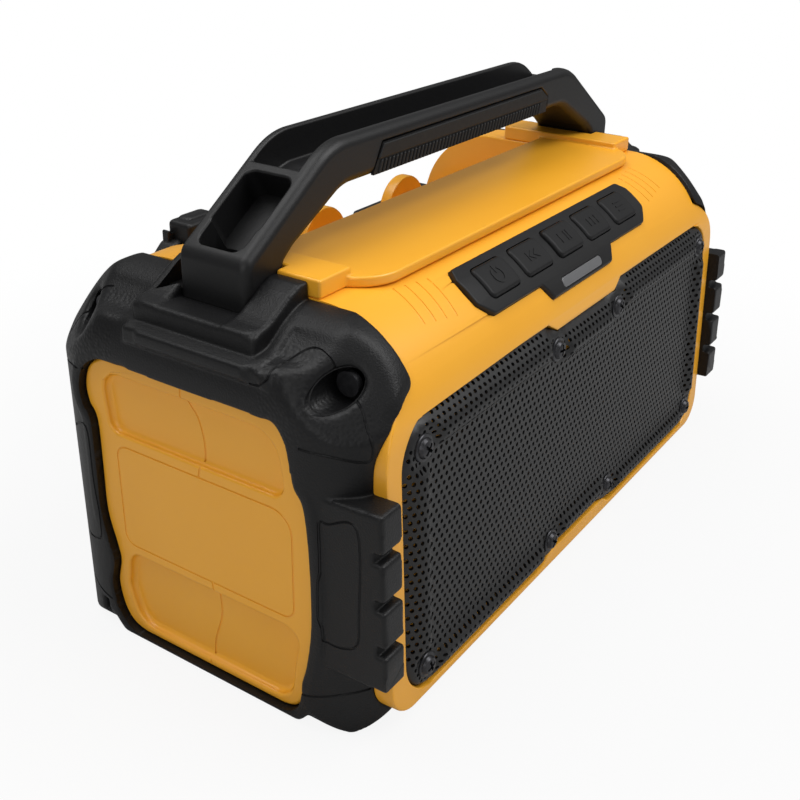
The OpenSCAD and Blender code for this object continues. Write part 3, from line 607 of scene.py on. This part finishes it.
def turned(name, profile, steps):
    bpy.ops.object.select_all(action="DESELECT")
    bpy.ops.mesh.primitive_circle_add(vertices=len(profile), radius=MM, fill_type="NOTHING")
    piece = named(name)
    for vert, (r, z) in zip(piece.data.vertices, profile):
        vert.co = (r * MM, 0, z * MM)
    ends = {0, len(profile) - 1}
    enter("EDIT")
    bpy.ops.mesh.select_mode(type="EDGE")
    bpy.ops.mesh.select_all(action="DESELECT")
    enter("OBJECT")
    for edge in piece.data.edges:
        edge.select = set(edge.vertices) == ends
    enter("EDIT")
    bpy.ops.mesh.delete(type="EDGE")
    bpy.ops.mesh.select_mode(type="VERT")
    bpy.ops.mesh.select_all(action="SELECT")
    bpy.ops.mesh.spin(steps=steps, angle=math.tau, center=(0, 0, 0), axis=(0, 0, 1))
    bpy.ops.mesh.select_all(action="SELECT")
    bpy.ops.mesh.remove_doubles(threshold=0.001 * MM)
    bpy.ops.mesh.normals_make_consistent(inside=False)
    enter("OBJECT")
    return piece


def cross_recess(piece, width, reach, depth, top):
    for a, b in ((width, reach), (reach, width)):
        points = [(u, v, top - depth) for u, v in ((-a, -b), (a, -b), (a, b), (-a, b))]
        cut(piece, slab("slot", points, (0, 0, 3)))


screw = turned("grille_fixings", [(0, 2.1), (1.5, 2.05), (2.5, 1.7), (2.95, 1.0), (3.05, 0.65),
                                  (3.85, 0.55), (4.05, 0.3), (4.05, 0), (1.5, 0), (1.5, -5.5),
                                  (0.9, -6.2), (0, -6.3)], 24)
cross_recess(screw, 0.45, 1.9, 1.2, 2.1)
smooth(screw, 30)
pattern = screw.data.copy()
copies = []
for i, (u, v) in enumerate(SCREWS):
    spare = bpy.data.objects.new("fixing", pattern.copy())
    bpy.context.scene.collection.objects.link(spare)
    spin = Matrix.Rotation(math.radians(17 + 31 * i), 4, "Z")
    stand = Matrix.Rotation(math.radians(90) - LEAN, 4, "X")
    seat = Matrix.Translation(leaned(u, SEAT_Y - FIELD, GRILLE_MID + v) * MM)
    spare.data.transform(seat @ stand @ spin)
    copies.append(spare)
bpy.data.objects.remove(screw)
bpy.ops.object.select_all(action="DESELECT")
for spare in copies:
    spare.select_set(True)
bpy.context.view_layer.objects.active = copies[0]
bpy.ops.object.join()
grille_fixings = bpy.context.active_object
grille_fixings.name = "grille_fixings"

# Black zinc on steel: dark, slightly cloudy and shiny.
black_zinc = mottled("black_zinc_steel", "#2A2A2C", "#49494C", 1.5, (0.28, 0.45), metallic=0.8, bump=0.0)
dress(grille_fixings, black_zinc)
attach(grille_fixings, "body")
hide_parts("grille_screws")

# Keypad on the shoulder: a bezel of black polycarbonate round five rubber keys and a status
# lens, wrapped to the shoulder's curve. It snaps into the front housing from outside.
KEY_TURN = math.radians(52)
KEY_W, KEY_H, KEY_PITCH, KEY_V = 17, 11, 21.5, 0.3
BEZEL_TOP = 1.4
LENS_V = -11.9


def wrapped(piece, middle, lines):
    pick(piece)
    enter("EDIT")
    for v in lines:
        bpy.ops.mesh.select_all(action="SELECT")
        bpy.ops.mesh.bisect(plane_co=(0, v * MM, 0), plane_no=(0, 1, 0))
    enter("OBJECT")
    for vert in piece.data.vertices:
        u, v, w = vert.co / MM
        v += middle[1]
        reach = math.sqrt((SHOULDER_R + w) ** 2 - v * v)
        back = SHOULDER_Y - reach * math.cos(KEY_TURN) + v * math.sin(KEY_TURN)
        rise = SHOULDER_Z + reach * math.sin(KEY_TURN) + v * math.cos(KEY_TURN)
        vert.co = Vector((middle[0] + u, back, rise)) * MM


def tablet(name, w, h, r, low, high):
    corners = [(-w / 2, -h / 2, r), (w / 2, -h / 2, r), (w / 2, h / 2, r), (-w / 2, h / 2, r)]
    return slab(name, [(p.x, p.y, low) for p in rounded_corners(corners)], (0, 0, high - low))


# Polycarbonate and silicone rubber, both matt black with a dusty bloom of 2 to 6 mm.
bezel_plastic = mottled("polycarbonate_black", "#0A0A0B", "#101011", 6, (0.42, 0.56),
                        ior=1.42, bump=0.03)
rubber = mottled("silicone_rubber_black", "#0B0B0C", "#121213", 2, (0.48, 0.62), ior=1.36, bump=0.05)
half = [(21, -14.3, 1), (25, -9, 1.5), (53.5, -9, 2.5), (59, -4, 2), (59, 5, 2), (56.5, 9, 1.5)]
edge = half + [(-u, v, r) for u, v, r in reversed(half)]
bezel = slab("key_bezel", [(p.x, p.y, -2.5) for p in rounded_corners(edge, 4)], (0, 0, 2.5 + BEZEL_TOP))
soften(bezel, 0.5, segments=3, sharp=50, stays=lambda p: p.z < 0)
for i in range(5):
    window = tablet("window", KEY_W + 0.7, KEY_H + 0.7, 2.35, -4, 4)
    for vert in window.data.vertices:
        vert.co += Vector(((i - 2) * KEY_PITCH, KEY_V, 0)) * MM
    cut(bezel, window)
window = tablet("window", 28.3, 3.5, 1.4, -4, 4)
for vert in window.data.vertices:
    vert.co.y += LENS_V * MM
cut(bezel, window)
wrapped(bezel, (0, 0), [2.2 * k for k in range(-6, 5)])
smooth(bezel)
dress(bezel, bezel_plastic)
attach(bezel, "body")
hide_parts("keypad")

# Keys: moulded silicone rubber caps with a plain raised symbol on top. Each slides in its
# window of the bezel, over a push switch.


def stroke_ring(r, width, start, end, steps=20):
    turns = [math.radians(start + (end - start) * k / steps) for k in range(steps + 1)]
    outer = [((r + width / 2) * math.cos(a), (r + width / 2) * math.sin(a)) for a in turns]
    inner = [((r - width / 2) * math.cos(a), (r - width / 2) * math.sin(a)) for a in reversed(turns)]
    return outer + inner


def bar(u0, u1, v0, v1):
    return [(u0, v0), (u1, v0), (u1, v1), (u0, v1)]


def arrow(u, way, size):
    return [(u, size), (u, -size), (u + way * size * 1.5, 0)]


SYMBOLS = {
    "power": [stroke_ring(2.6, 0.6, 125, 415), bar(-0.3, 0.3, 0.6, 3.5)],
    "previous": [arrow(0.3, -1, 1.7), arrow(3, -1, 1.7), bar(-3, -2.4, -1.7, 1.7)],
    "play": [arrow(-3.4, 1, 1.9), bar(0.5, 1.2, -1.9, 1.9), bar(2.2, 2.9, -1.9, 1.9)],
    "next": [arrow(-0.3, 1, 1.7), arrow(-3, 1, 1.7), bar(2.4, 3, -1.7, 1.7)],
    "mode": [bar(-2.6, 2.6, 1.4, 2.0), bar(-2.6, 2.6, -0.3, 0.3), bar(-2.6, 2.6, -2.0, -1.4)],
}
for i, (name, shapes) in enumerate(SYMBOLS.items()):
    top = BEZEL_TOP + (1.4 if name == "play" else 0.9)
    cap = tablet(name + "_button", KEY_W, KEY_H, 2, -2.5, top)
    soften(cap, 1.0, segments=4, sharp=50, stays=lambda p: p.z < 0)
    wrapped(cap, ((i - 2) * KEY_PITCH, KEY_V), (-4, -2, 0, 2, 4))
    smooth(cap)
    for shape in shapes:
        mark = slab("mark", [(u, v, top - 0.3) for u, v in shape], (0, 0, 0.5))
        wrapped(mark, ((i - 2) * KEY_PITCH, KEY_V), ())
        mark.select_set(True)
        cap.select_set(True)
        bpy.context.view_layer.objects.active = cap
        bpy.ops.object.join()
    dress(cap, rubber)
    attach(cap, name + "_key_body")
    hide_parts(name + "_key")

# Status lens: a moulded bar of smoked grey polycarbonate with rounded ends, let into the
# lower tab of the bezel.
smoked = mottled("smoked_polycarbonate_grey", "#5E5F60", "#69696B", 8, (0.25, 0.35),
                 ior=1.58, bump=0.02)
status_lens = tablet("status_lens", 28, 3.2, 1.3, -2, BEZEL_TOP + 0.1)
soften(status_lens, 0.4, segments=3, sharp=50, stays=lambda p: p.z < 0)
wrapped(status_lens, (0, LENS_V), (0,))
smooth(status_lens)
dress(status_lens, smoked)
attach(status_lens, "body")
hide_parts("indicator_lens")

# Corner bumpers: soft black elastomer moulded over each end, with a collar round the handle
# leg, grained pads on the upper corners, toothed ridges and rounded feet. A screw in a deep
# bore holds each upper corner.
# The grain is 0.5 mm, and about 1.1 mm like leather on the pads, which lie past the tier line.
elastomer = new_material("grained_elastomer_black")
where = add_node(elastomer, "ShaderNodeTexCoord", {}, {})
quarter = add_node(elastomer, "ShaderNodeVectorMath", {"operation": "ABSOLUTE"},
                   {0: where.outputs["Object"]})
axes = add_node(elastomer, "ShaderNodeSeparateXYZ", {}, {0: quarter.outputs[0]})
past = add_node(elastomer, "ShaderNodeMapRange", {},
                {"Value": axes.outputs["Y"], "From Min": 26.4 * MM, "From Max": 26.8 * MM})
above = add_node(elastomer, "ShaderNodeMapRange", {},
                 {"Value": axes.outputs["Z"], "From Min": 91 * MM, "From Max": 91.5 * MM})
outside = add_node(elastomer, "ShaderNodeMapRange", {},
                   {"Value": axes.outputs["X"], "From Min": 113.6 * MM, "From Max": 114.2 * MM})
on_pad = add_node(elastomer, "ShaderNodeMath", {"operation": "MULTIPLY"},
                  {0: past.outputs["Result"], 1: above.outputs["Result"]})
on_pad = add_node(elastomer, "ShaderNodeMath", {"operation": "MULTIPLY"},
                  {0: on_pad.outputs[0], 1: outside.outputs["Result"]})
cells = add_node(elastomer, "ShaderNodeTexVoronoi", {"feature": "SMOOTH_F1"},
                 {"Vector": where.outputs["Object"], "Scale": 1 / (1.1 * MM), "Smoothness": 0.5})
fine = add_node(elastomer, "ShaderNodeTexNoise", {},
                {"Vector": where.outputs["Object"], "Scale": 1 / (0.5 * MM), "Detail": 3.0})
cloud = add_node(elastomer, "ShaderNodeTexNoise", {},
                 {"Vector": where.outputs["Object"], "Scale": 1 / (25 * MM), "Detail": 4.0})
shade = add_node(elastomer, "ShaderNodeMix", {"data_type": "RGBA"},
                 {0: cloud.outputs["Fac"], 6: tint("#0B0B0C"), 7: tint("#111112")})
height = add_node(elastomer, "ShaderNodeMix", {"data_type": "FLOAT"},
                  {0: on_pad.outputs[0], 2: fine.outputs["Fac"], 3: cells.outputs["Distance"]})
gloss = add_node(elastomer, "ShaderNodeMapRange", {},
                 {"Value": height.outputs[0], "To Min": 0.38, "To Max": 0.52})
relief = add_node(elastomer, "ShaderNodeBump", {},
                  {"Height": height.outputs[0], "Strength": 0.6, "Distance": 0.2 * MM})
coat(elastomer, shade, gloss, relief, IOR=1.36)


def grown(points, by):
    out = []
    for i, p in enumerate(points):
        along = (points[(i + 1) % len(points)] - points[i - 1]).normalized()
        out.append(p + by * Vector((0, -along.z, along.y)))
    return out


def run(profile, y0, y1):
    return slab("run", [(-u, y0, v) for u, v in profile], (0, y1 - y0, 0))


GUARD_BOX = ((-127.5, -100), (-66.7, 60.4), (0, 125))
COLLAR = (-22.8, 20.2)
LEG_Y = 12.1
ARC_X, ARC_Z, ARC_R = -96.3, 84.6, 20
BORE_Y, BORE_Z, BORE_R = 44.5, 105.5, 5.1
guard = copy_of("left_bumper", "left_corner_guard")
hem = grown(ring_of(PANEL), 3.2)
border = slab("border", [(-120.2, p.y, max(p.z, 1.0)) for p in hem], (-5.6, 0, 0))
cut(guard, border, "UNION")
opening = grown(ring_of(PANEL), 0.15)
cut(guard, slab("opening", [(-116, p.y, p.z) for p in opening], (-14, 0, 0)))
ear = [(100.2, 117.6), (100.2, 124.8), (103.5, 124.5), (107, 123), (111, 120.4), (115, 118.2),
       (118, 117.2), (122.4, 116.6), (122.4, 106.2), (120.3, 106.2), (116, 110.4), (112.2, 114)]
shelf = [(112.2, 116.2), (122.4, 116.5), (122.4, 106.2), (120.3, 106.2), (116, 110.4), (112.2, 112)]
cut(guard, run([(95, 118), (108, 118), (111, 116.2), (130, 116.2), (130, 140), (95, 140)], *COLLAR))
cut(guard, run([(122.4, 111), (122.4, 135), (132, 135), (132, 108.2)], -40, 40))
cut(guard, run([(126.05, 100), (126.05, 135), (132, 135), (132, 100)], -40, 40))
tier = [(99, 120), (104, 119.4), (107, 118.4), (111, 116.3), (114, 114.1), (116.5, 112.3),
        (118.5, 111.4), (122.5, 111), (132, 108.2), (132, 140), (99, 140)]
lower = [(u, v - 0.9 if v < 130 else v) for u, v in tier]
for way in (-1, 1):
    near, far = (-COLLAR[0], 26.5) if way < 0 else (COLLAR[1], 24)
    cut(guard, run(tier, way * near, way * 48))
    cut(guard, run(lower[3:], way * far, way * 48))
plinth = run([(116.5, 111.8), (122.4, 111), (127.3, 109.8), (127.3, 107.4), (125.4, 105.6),
              (121, 105.6)], -26.5, 18.5)
plan = rounded_corners([(-127.5, -26.5, 6), (-90, -26.5, 0), (-90, 18.5, 0), (-127.5, 18.5, 6)])
cut(plinth, slab("plan", [(p.x, p.y, 90) for p in plan], (0, 0, 50)), "INTERSECT")
cut(guard, plinth, "UNION")
collar = run(ear, COLLAR[0], -LEG_Y)
cut(collar, run(shelf, -12.3, 12.3), "UNION")
cut(collar, run(ear, LEG_Y, COLLAR[1]), "UNION")
plan = rounded_corners([(-122.5, -22.9, 5), (-90, -22.9, 0), (-90, 20.3, 0), (-122.5, 20.3, 5)])
cut(collar, slab("plan", [(p.x, p.y, 90) for p in plan], (0, 0, 50)), "INTERSECT")
cut(guard, collar, "UNION")
foot_hole = [(-123.6, y, z) for y, z in ((40, 4.5), (43, 4.5), (43, 10.5), (40, 10.5))]
cut(guard, slab("foot_hole", foot_hole, (-6, 0, 0)))
modify(guard, "REMESH", mode="VOXEL", voxel_size=0.5 * MM)
modify(guard, "SMOOTH", factor=0.5, iterations=7)
patch = guard.vertex_groups.new(name="patch")
for vert in guard.data.vertices:
    x, y, z = vert.co / MM
    weight = min(max(-y - 27.5, y - 20.5) / 3, (z - 94) / 5, (-100.5 - x) / 4, 1)
    if y < -40:
        weight = min(weight, (math.hypot(x - ARC_X, z - ARC_Z) - ARC_R - 0.5) / 4)
    if weight > 0:
        patch.add([vert.index], weight, "REPLACE")
modify(guard, "SMOOTH", factor=0.5, iterations=80, vertex_group="patch")
guard.vertex_groups.clear()
modify(guard, "DISPLACE", mid_level=0, strength=0.5 * MM)
for vert in guard.data.vertices:
    for i, (least, most) in enumerate(GUARD_BOX):
        vert.co[i] = min(max(vert.co[i], least * MM), most * MM)
    middle = Vector((ARC_X, 0, 0)) * MM
    middle.z = min(vert.co.z, ARC_Z * MM)
    spoke = Vector((vert.co.x, 0, vert.co.z)) - middle
    past = spoke.length / MM - ARC_R
    if vert.co.y < -40 * MM and vert.co.z > 70 * MM and past < 2.5:
        vert.co -= spoke.normalized() * (1.3 * (1 - max(past, 0) / 2.5) * MM)
modify(guard, "DECIMATE", ratio=0.15)
cut(guard, slab("opening", [(-116, p.y, p.z) for p in opening], (-14, 0, 0)))
cut(guard, run([(95, 108), (95, 140), (112.1, 140), (112.1, 108)], -LEG_Y, LEG_Y))
cut(guard, run([(95, 118.2), (95, 140), (110.7, 140), (110.7, 118.2)], 12, 18))
corner = [(-110.5, 12, 115.2), (-112.1, 12, 115.2), (-115.8, 18, 115.2), (-110.5, 18, 115.2)]
cut(guard, slab("corner", corner, (0, 0, 25)))
rim = rounded_corners([(-116.3, 5.1, 11), (-90, 5.1, 0), (-90, 107.33, 0), (-116.3, 107.33, 0)], 10)[:-1]
for x, z, r, first, last in ((-104, 107.33, 4, 0, -71.3), (ARC_X, ARC_Z, ARC_R, 108.7, 180)):
    for k in range(13):
        a = math.radians(first + (last - first) * k / 12)
        rim.append(Vector((x + r * math.cos(a), z + r * math.sin(a))))
cut(guard, slab("frame", [leaned(p.x, -80, p.y) for p in rim], leaned(0, 28, 0) - leaned(0, 0, 0)))


def scored(points, closed=False):
    bpy.context.view_layer.update()
    line = [guard.closest_point_on_mesh(Vector(p) * MM)[1] / MM for p in points]
    groove(guard, line, 0.9, closed)


def closed_line(points):
    return curved([points[-1], *points, points[0], points[1]])[6:-7]


slot_panel = [(-44.9, 70.4), (-48, 71.8), (-57.4, 73.2), (-57.9, 45.4), (-57.2, 37), (-53, 34),
              (-47.8, 33.4), (-45.2, 35.7), (-44.9, 56)]
scored(closed_line([(-125, y, z) for y, z in slot_panel]), closed=True)
rear_slot = [(41, 72.6), (48.8, 69.8), (54, 68), (55, 50), (54, 36), (48, 32), (42.8, 32.7), (39.5, 36),
             (40.4, 54)]
rear_line = [(-103 - math.sqrt(529 - (y - 37.4) ** 2), y, z) for y, z in rear_slot]
scored(closed_line(rear_line), closed=True)
arch = [(-126.4, -24.5, 105.8), (-126, -27.6, 106.3), (-124.4, -29.3, 108.2), (-121.8, -30.3, 110.3),
        (-118.9, -31.2, 112.6), (-116.5, -32.8, 114.3), (-114.8, -34.9, 115.2), (-114.1, -37.2, 114.8),
        (-113.8, -39.6, 113.2)]
for way in (1, -1):
    pad_edge = arch if way > 0 else arch[-2:]
    pad_edge = pad_edge + [(-113.7, -41.8, 111.2), (-114.6, -44.5, 108.1), (-114.5, -50.2, 102.7),
                           (-116.1, -53.9, 97.3), (-116.6, -55.9, 92.3), (-117.7, -55, 89.4),
                           (-123.3, -48.1, 91.2), (-125.8, -39.8, 92)]
    scored([(p.x, p.y * way, p.z) for p in curved(pad_edge)])
    foot_edge = [(-126, -38, 11.6), (-124.8, -44.4, 13.1), (-122.1, -50.1, 14.8), (-118.1, -54.7, 15.8),
                 (-112, -58.6, 16.5), (-105, -60.4, 16.8)]
    scored([(p.x, p.y * way, p.z) for p in curved(foot_edge)])
pick(guard)
bpy.ops.object.shade_smooth_by_angle(angle=math.radians(50))

# Linings of the two bores, tubes of the same elastomer down to the screw seats.
for way in (-1, 1):
    turns = [k * math.tau / 40 for k in range(40)]
    round_bore = [(-130, BORE_Y * way + BORE_R * math.cos(a), BORE_Z + BORE_R * math.sin(a))
                  for a in turns]
    cut(guard, slab("round_bore", round_bore, (20.4, 0, 0)))
    lining = turned("lining", [(5.2, 0), (5.2, 16), (4.8, 16), (4.8, 0.5), (2.2, 0.5), (2.2, 0),
                               (5.2, 0)], 32)
    lining.data.transform(Matrix.Translation(Vector((-109.1, BORE_Y * way, BORE_Z)) * MM)
                          @ Matrix.Rotation(math.radians(-90), 4, "Y"))
    slant = Vector((-0.617, 0.557 * way, 0.557))
    across = slant.orthogonal().normalized() * 20
    along = slant.cross(across)
    rim = Vector((-117, BORE_Y * way, BORE_Z)) - 0.8 * slant
    corners = [rim + across + along, rim - across + along, rim - across - along, rim + across - along]
    cut(lining, slab("slant", corners, 30 * slant))
    smooth(lining)
    pick(guard)
    lining.select_set(True)
    bpy.ops.object.join()
dress(guard, elastomer)
pick(guard)
bpy.ops.object.duplicate()
twin = named("right_corner_guard")
edit_all()
bpy.ops.transform.mirror(constraint_axis=(True, False, False), center_override=(0, 0, 0))
bpy.ops.mesh.flip_normals()
enter("OBJECT")
for side, piece in (("left", guard), ("right", twin)):
    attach(piece, "body")
    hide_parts(side + "_bumper")
dress(frame["nodes"]["bumper_screws"], black_zinc)

# Carrying handle: one black nylon moulding, a channel open on top with a thin rear wall, a
# thick front bar and a pocket in each sloping end behind a cross web. Four screws hold its
# legs from below. Glass-filled nylon with a fine grain of about 0.6 mm and a low gloss.
nylon = mottled("grained_nylon_black", "#0B0B0C", "#111112", 0.6, (0.38, 0.54), ior=1.42, bump=0.25)
LEG_FOOT = 114.6
half_outline = [(112, LEG_FOOT, 0), (112, 130.2, 5), (74, 155.2, 26)]
half_inside = [(68.5, 141.6, 16), (91, 129.7, 5), (95.5, 126.2, 3), (95.5, LEG_FOOT, 0)]
outline = (half_outline + [(-u, v, r) for u, v, r in reversed(half_outline)]
           + [(-u, v, r) for u, v, r in reversed(half_inside)] + half_inside)
handle = slab("carry_handle", [(p.x, -12, p.y) for p in rounded_corners(outline, 10)], (0, 24, 0))
soften(handle, 3, segments=5, sharp=60, stays=lambda p: p.z < LEG_FOOT + 0.1 or p.y > 0)
soften(handle, 1.2, segments=3, sharp=60, stays=lambda p: p.z < LEG_FOOT + 0.1 or p.y < 0)
half_floor = [(83.8, 149.2, 0), (79.4, 142.4, 3), (68, 145.1, 8)]
floor_line = half_floor + [(-u, v, r) for u, v, r in reversed(half_floor)]
channel = rounded_corners(floor_line + [(-90, 159, 0), (90, 159, 0)])
cut(handle, slab("channel", [(p.x, -7.2, p.y) for p in channel], (0, 16.6, 0)))
slope = math.radians(33.3)
window = rounded_corners([(-11.2, -8, 3.5), (9.9, -8, 3.5), (9.9, 9, 3.5), (-11.2, 9, 3.5)])
pocket = rounded_corners([(98.2, -7.4, 3), (109, -7.4, 3), (109, 8.4, 3), (98.2, 8.4, 3)])
for s in (-1, 1):
    along = Vector((-math.cos(slope) * s, 0, math.sin(slope)))
    out = Vector((math.sin(slope) * s, 0, math.cos(slope)))
    middle = Vector((94.6 * s, 0, 141.7)) - 9.8 * out
    points = [middle + p.x * along + Vector((0, p.y, 0)) for p in window]
    cut(handle, slab("window", points, 20 * out))
    cut(handle, slab("pocket", [(p.x * s, p.y, 121) for p in pocket], (0, 0, 17)))
grip_seat = [(-55, 140), (55, 140), (55, 147.4), (50, 150.9), (-50, 150.9), (-55, 142)]
cut(handle, slab("grip_seat", [(u, -14, v) for u, v in grip_seat], (0, 3.2, 0)))
soften(handle, 0.8, segments=3, sharp=50,
       stays=lambda p: p.z < LEG_FOOT + 0.1 or abs(p.y) < 9.2 and abs(p.x) * 0.549 + p.z * 0.836 < 166.4)
smooth(handle)
dress(handle, nylon)
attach(handle, "body")
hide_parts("handle")

# Grip: a rubber strip let into the front of the bar, with a plain upper band and a row of
# slanted ribs below it. The rubber is matt, with a bloom of about 1.5 mm.
RIB_PITCH, RIBS = 2.0, 51
strip = slab("finger_grip", [(u, -11.9, v) for u, v in ((-54.6, 141.7), (54.6, 141.7), (54.6, 147.2),
                                                        (49.8, 150.6), (-49.8, 150.6), (-54.6, 142.2))],
             (0, 1.0, 0))
band = slab("band", [(u, -12.6, v) for u, v in ((-52.6, 146.2), (54.2, 146.2), (54.2, 147.1),
                                                (49.6, 150.4), (-49.8, 150.4))], (0, 1.2, 0))
soften(band, 0.4, segments=3)
rib = slab("rib", [(u, -12.5, v) for u, v in ((-52.6, 141.8), (-51.4, 141.8), (-49.9, 145.6),
                                              (-51.1, 145.6))], (0, 1.2, 0))
soften(rib, 0.3, segments=1)
modify(rib, "ARRAY", count=RIBS, use_relative_offset=False, use_constant_offset=True,
       constant_offset_displace=(RIB_PITCH * MM, 0, 0))
pick(strip)
band.select_set(True)
rib.select_set(True)
bpy.ops.object.join()
smooth(strip)
grip_rubber = mottled("ribbed_rubber_black", "#09090A", "#0F0F10", 1.5, (0.5, 0.7), ior=1.45)
dress(strip, grip_rubber)
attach(strip, "body")
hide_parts("handle_grip")

# Battery dock on the back: a black nylon moulding with two grooved cheeks that a power-tool
# battery slides down between, a terminal block and five brass blades. Four screws hold it.
# Its left corner rises behind the handle leg in a crown, with a fin and a wing at its side.
dock = copy_of("battery_dock", "battery_cradle")
soften(dock, 1.6, segments=4)
crown = [(70.8, 111, 0), (70.8, 117.4, 3.5), (67, 119.9, 3.5), (56, 119.9, 4), (53, 111, 0)]
fin = [(73.6, 108, 0), (73.6, 116.8, 0.6), (71.5, 115.2, 1), (69, 115, 0), (69, 108, 0)]
wing = [(80, 105, 0), (78.6, 108.6, 2), (74.2, 112.4, 4), (70, 113.6, 2), (68, 105, 0)]
for outline, y0, y1, edge in ((crown, 51.5, 57, 1.5), (fin, 55.4, 58.2, 0.4), (wing, 52, 59, 1.2)):
    points = [(-p.x, y0, p.y) for p in rounded_corners(outline)]
    form = slab("form", points, (0, y1 - y0, 0))
    soften(form, edge, segments=3)
    cut(dock, form, "UNION")
low_side = [(u, v, 98) for u, v in ((50, 44), (84, 44), (84, 70), (50, 70))]
cut(dock, slab("low_side", low_side, (0, 0, 28)))
smooth(dock)
dress(dock, nylon)
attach(dock, "body")
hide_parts("battery_dock")
terminal = copy_of("terminal_block", "terminal_housing")
soften(terminal, 0.5)
smooth(terminal)
# The block is a matt dark plastic, and the blades are stamped brass with a bright face.
terminal_plastic = mottled("terminal_plastic", "#1B1C1E", "#242527", 3, (0.4, 0.55))
dress(terminal, terminal_plastic)
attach(terminal, "body")
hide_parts("terminal_block")
brass = mottled("stamped_brass", "#B08A3A", "#CDA751", 2, (0.25, 0.4), metallic=1.0)
dress(frame["nodes"]["terminal_blades"], brass)

# Camera, floor and studio light. The camera stands where the photograph was taken from.
# The floor is white paper to the camera and keeps a soft shadow of the object.
lens = bpy.data.cameras.new("camera")
camera = bpy.data.objects.new("camera", lens)
bpy.context.scene.collection.objects.link(camera)
right = Vector((0.5615, -0.8273, 0.0163))
forward = Vector((0.7495, 0.5002, -0.4336)).normalized()
up = right.cross(forward).normalized()
right = forward.cross(up).normalized()
turn = Matrix((right, up, -forward)).transposed().to_4x4()
camera.matrix_world = Matrix.Translation((-0.3140, -0.1956, 0.2298)) @ turn
lens.sensor_width = 36.0
lens.lens = 49.76
lens.shift_y = -0.03125
lens.clip_start = 0.01
bpy.context.scene.camera = camera

bpy.ops.object.select_all(action="DESELECT")
bpy.ops.mesh.primitive_plane_add(size=8)
floor = bpy.context.active_object
floor.name = "floor"
paper = new_material("white_paper_floor")
path = add_node(paper, "ShaderNodeLightPath", {}, {})
where = add_node(paper, "ShaderNodeTexCoord", {}, {})
away = add_node(paper, "ShaderNodeVectorMath", {"operation": "LENGTH"}, {0: where.outputs["Object"]})
clean = add_node(paper, "ShaderNodeMapRange", {"interpolation_type": "SMOOTHSTEP"},
                 {"Value": away.outputs["Value"], "From Min": 0.12, "From Max": 0.36,
                  "To Min": 0.9, "To Max": 1.0})
share = add_node(paper, "ShaderNodeMath", {"operation": "MULTIPLY"},
                 {0: path.outputs["Is Camera Ray"], 1: clean.outputs["Result"]})
matt = add_node(paper, "ShaderNodeBsdfDiffuse", {}, {"Color": (0.55, 0.55, 0.55, 1)})
glow = add_node(paper, "ShaderNodeEmission", {}, {"Color": (1, 1, 1, 1), "Strength": 1.0})
mixed = add_node(paper, "ShaderNodeMixShader", {},
                 {0: share.outputs[0], 1: matt.outputs[0], 2: glow.outputs[0]})
add_node(paper, "ShaderNodeOutputMaterial", {}, {"Surface": mixed.outputs[0]})
dress(floor, paper)

world = bpy.data.worlds.new("studio")
bpy.context.scene.world = world
world.use_nodes = True
world.node_tree.nodes.clear()
path = add_node(world, "ShaderNodeLightPath", {}, {})
room = add_node(world, "ShaderNodeBackground", {}, {"Color": (1, 1, 1, 1), "Strength": 0.22})
white = add_node(world, "ShaderNodeBackground", {}, {"Color": (1, 1, 1, 1), "Strength": 1.0})
both = add_node(world, "ShaderNodeMixShader", {},
                {0: path.outputs["Is Camera Ray"], 1: room.outputs[0], 2: white.outputs[0]})
add_node(world, "ShaderNodeOutputWorld", {}, {"Surface": both.outputs[0]})

for name, place, size, power in (("key_light", (0.3, -0.6, 0.95), 0.7, 8.6),
                                 ("top_light", (-0.2, 0.25, 1.05), 0.8, 6.4),
                                 ("side_light", (-1.0, -0.3, 0.5), 0.6, 2.0)):
    lamp = bpy.data.lights.new(name, "AREA")
    lamp.size = size
    lamp.energy = power
    holder = bpy.data.objects.new(name, lamp)
    bpy.context.scene.collection.objects.link(holder)
    holder.location = place
    aim = Vector((0, 0, 0.06)) - Vector(place)
    holder.rotation_euler = aim.to_track_quat("-Z", "Y").to_euler()

bpy.context.scene.view_settings.view_transform = "Standard"
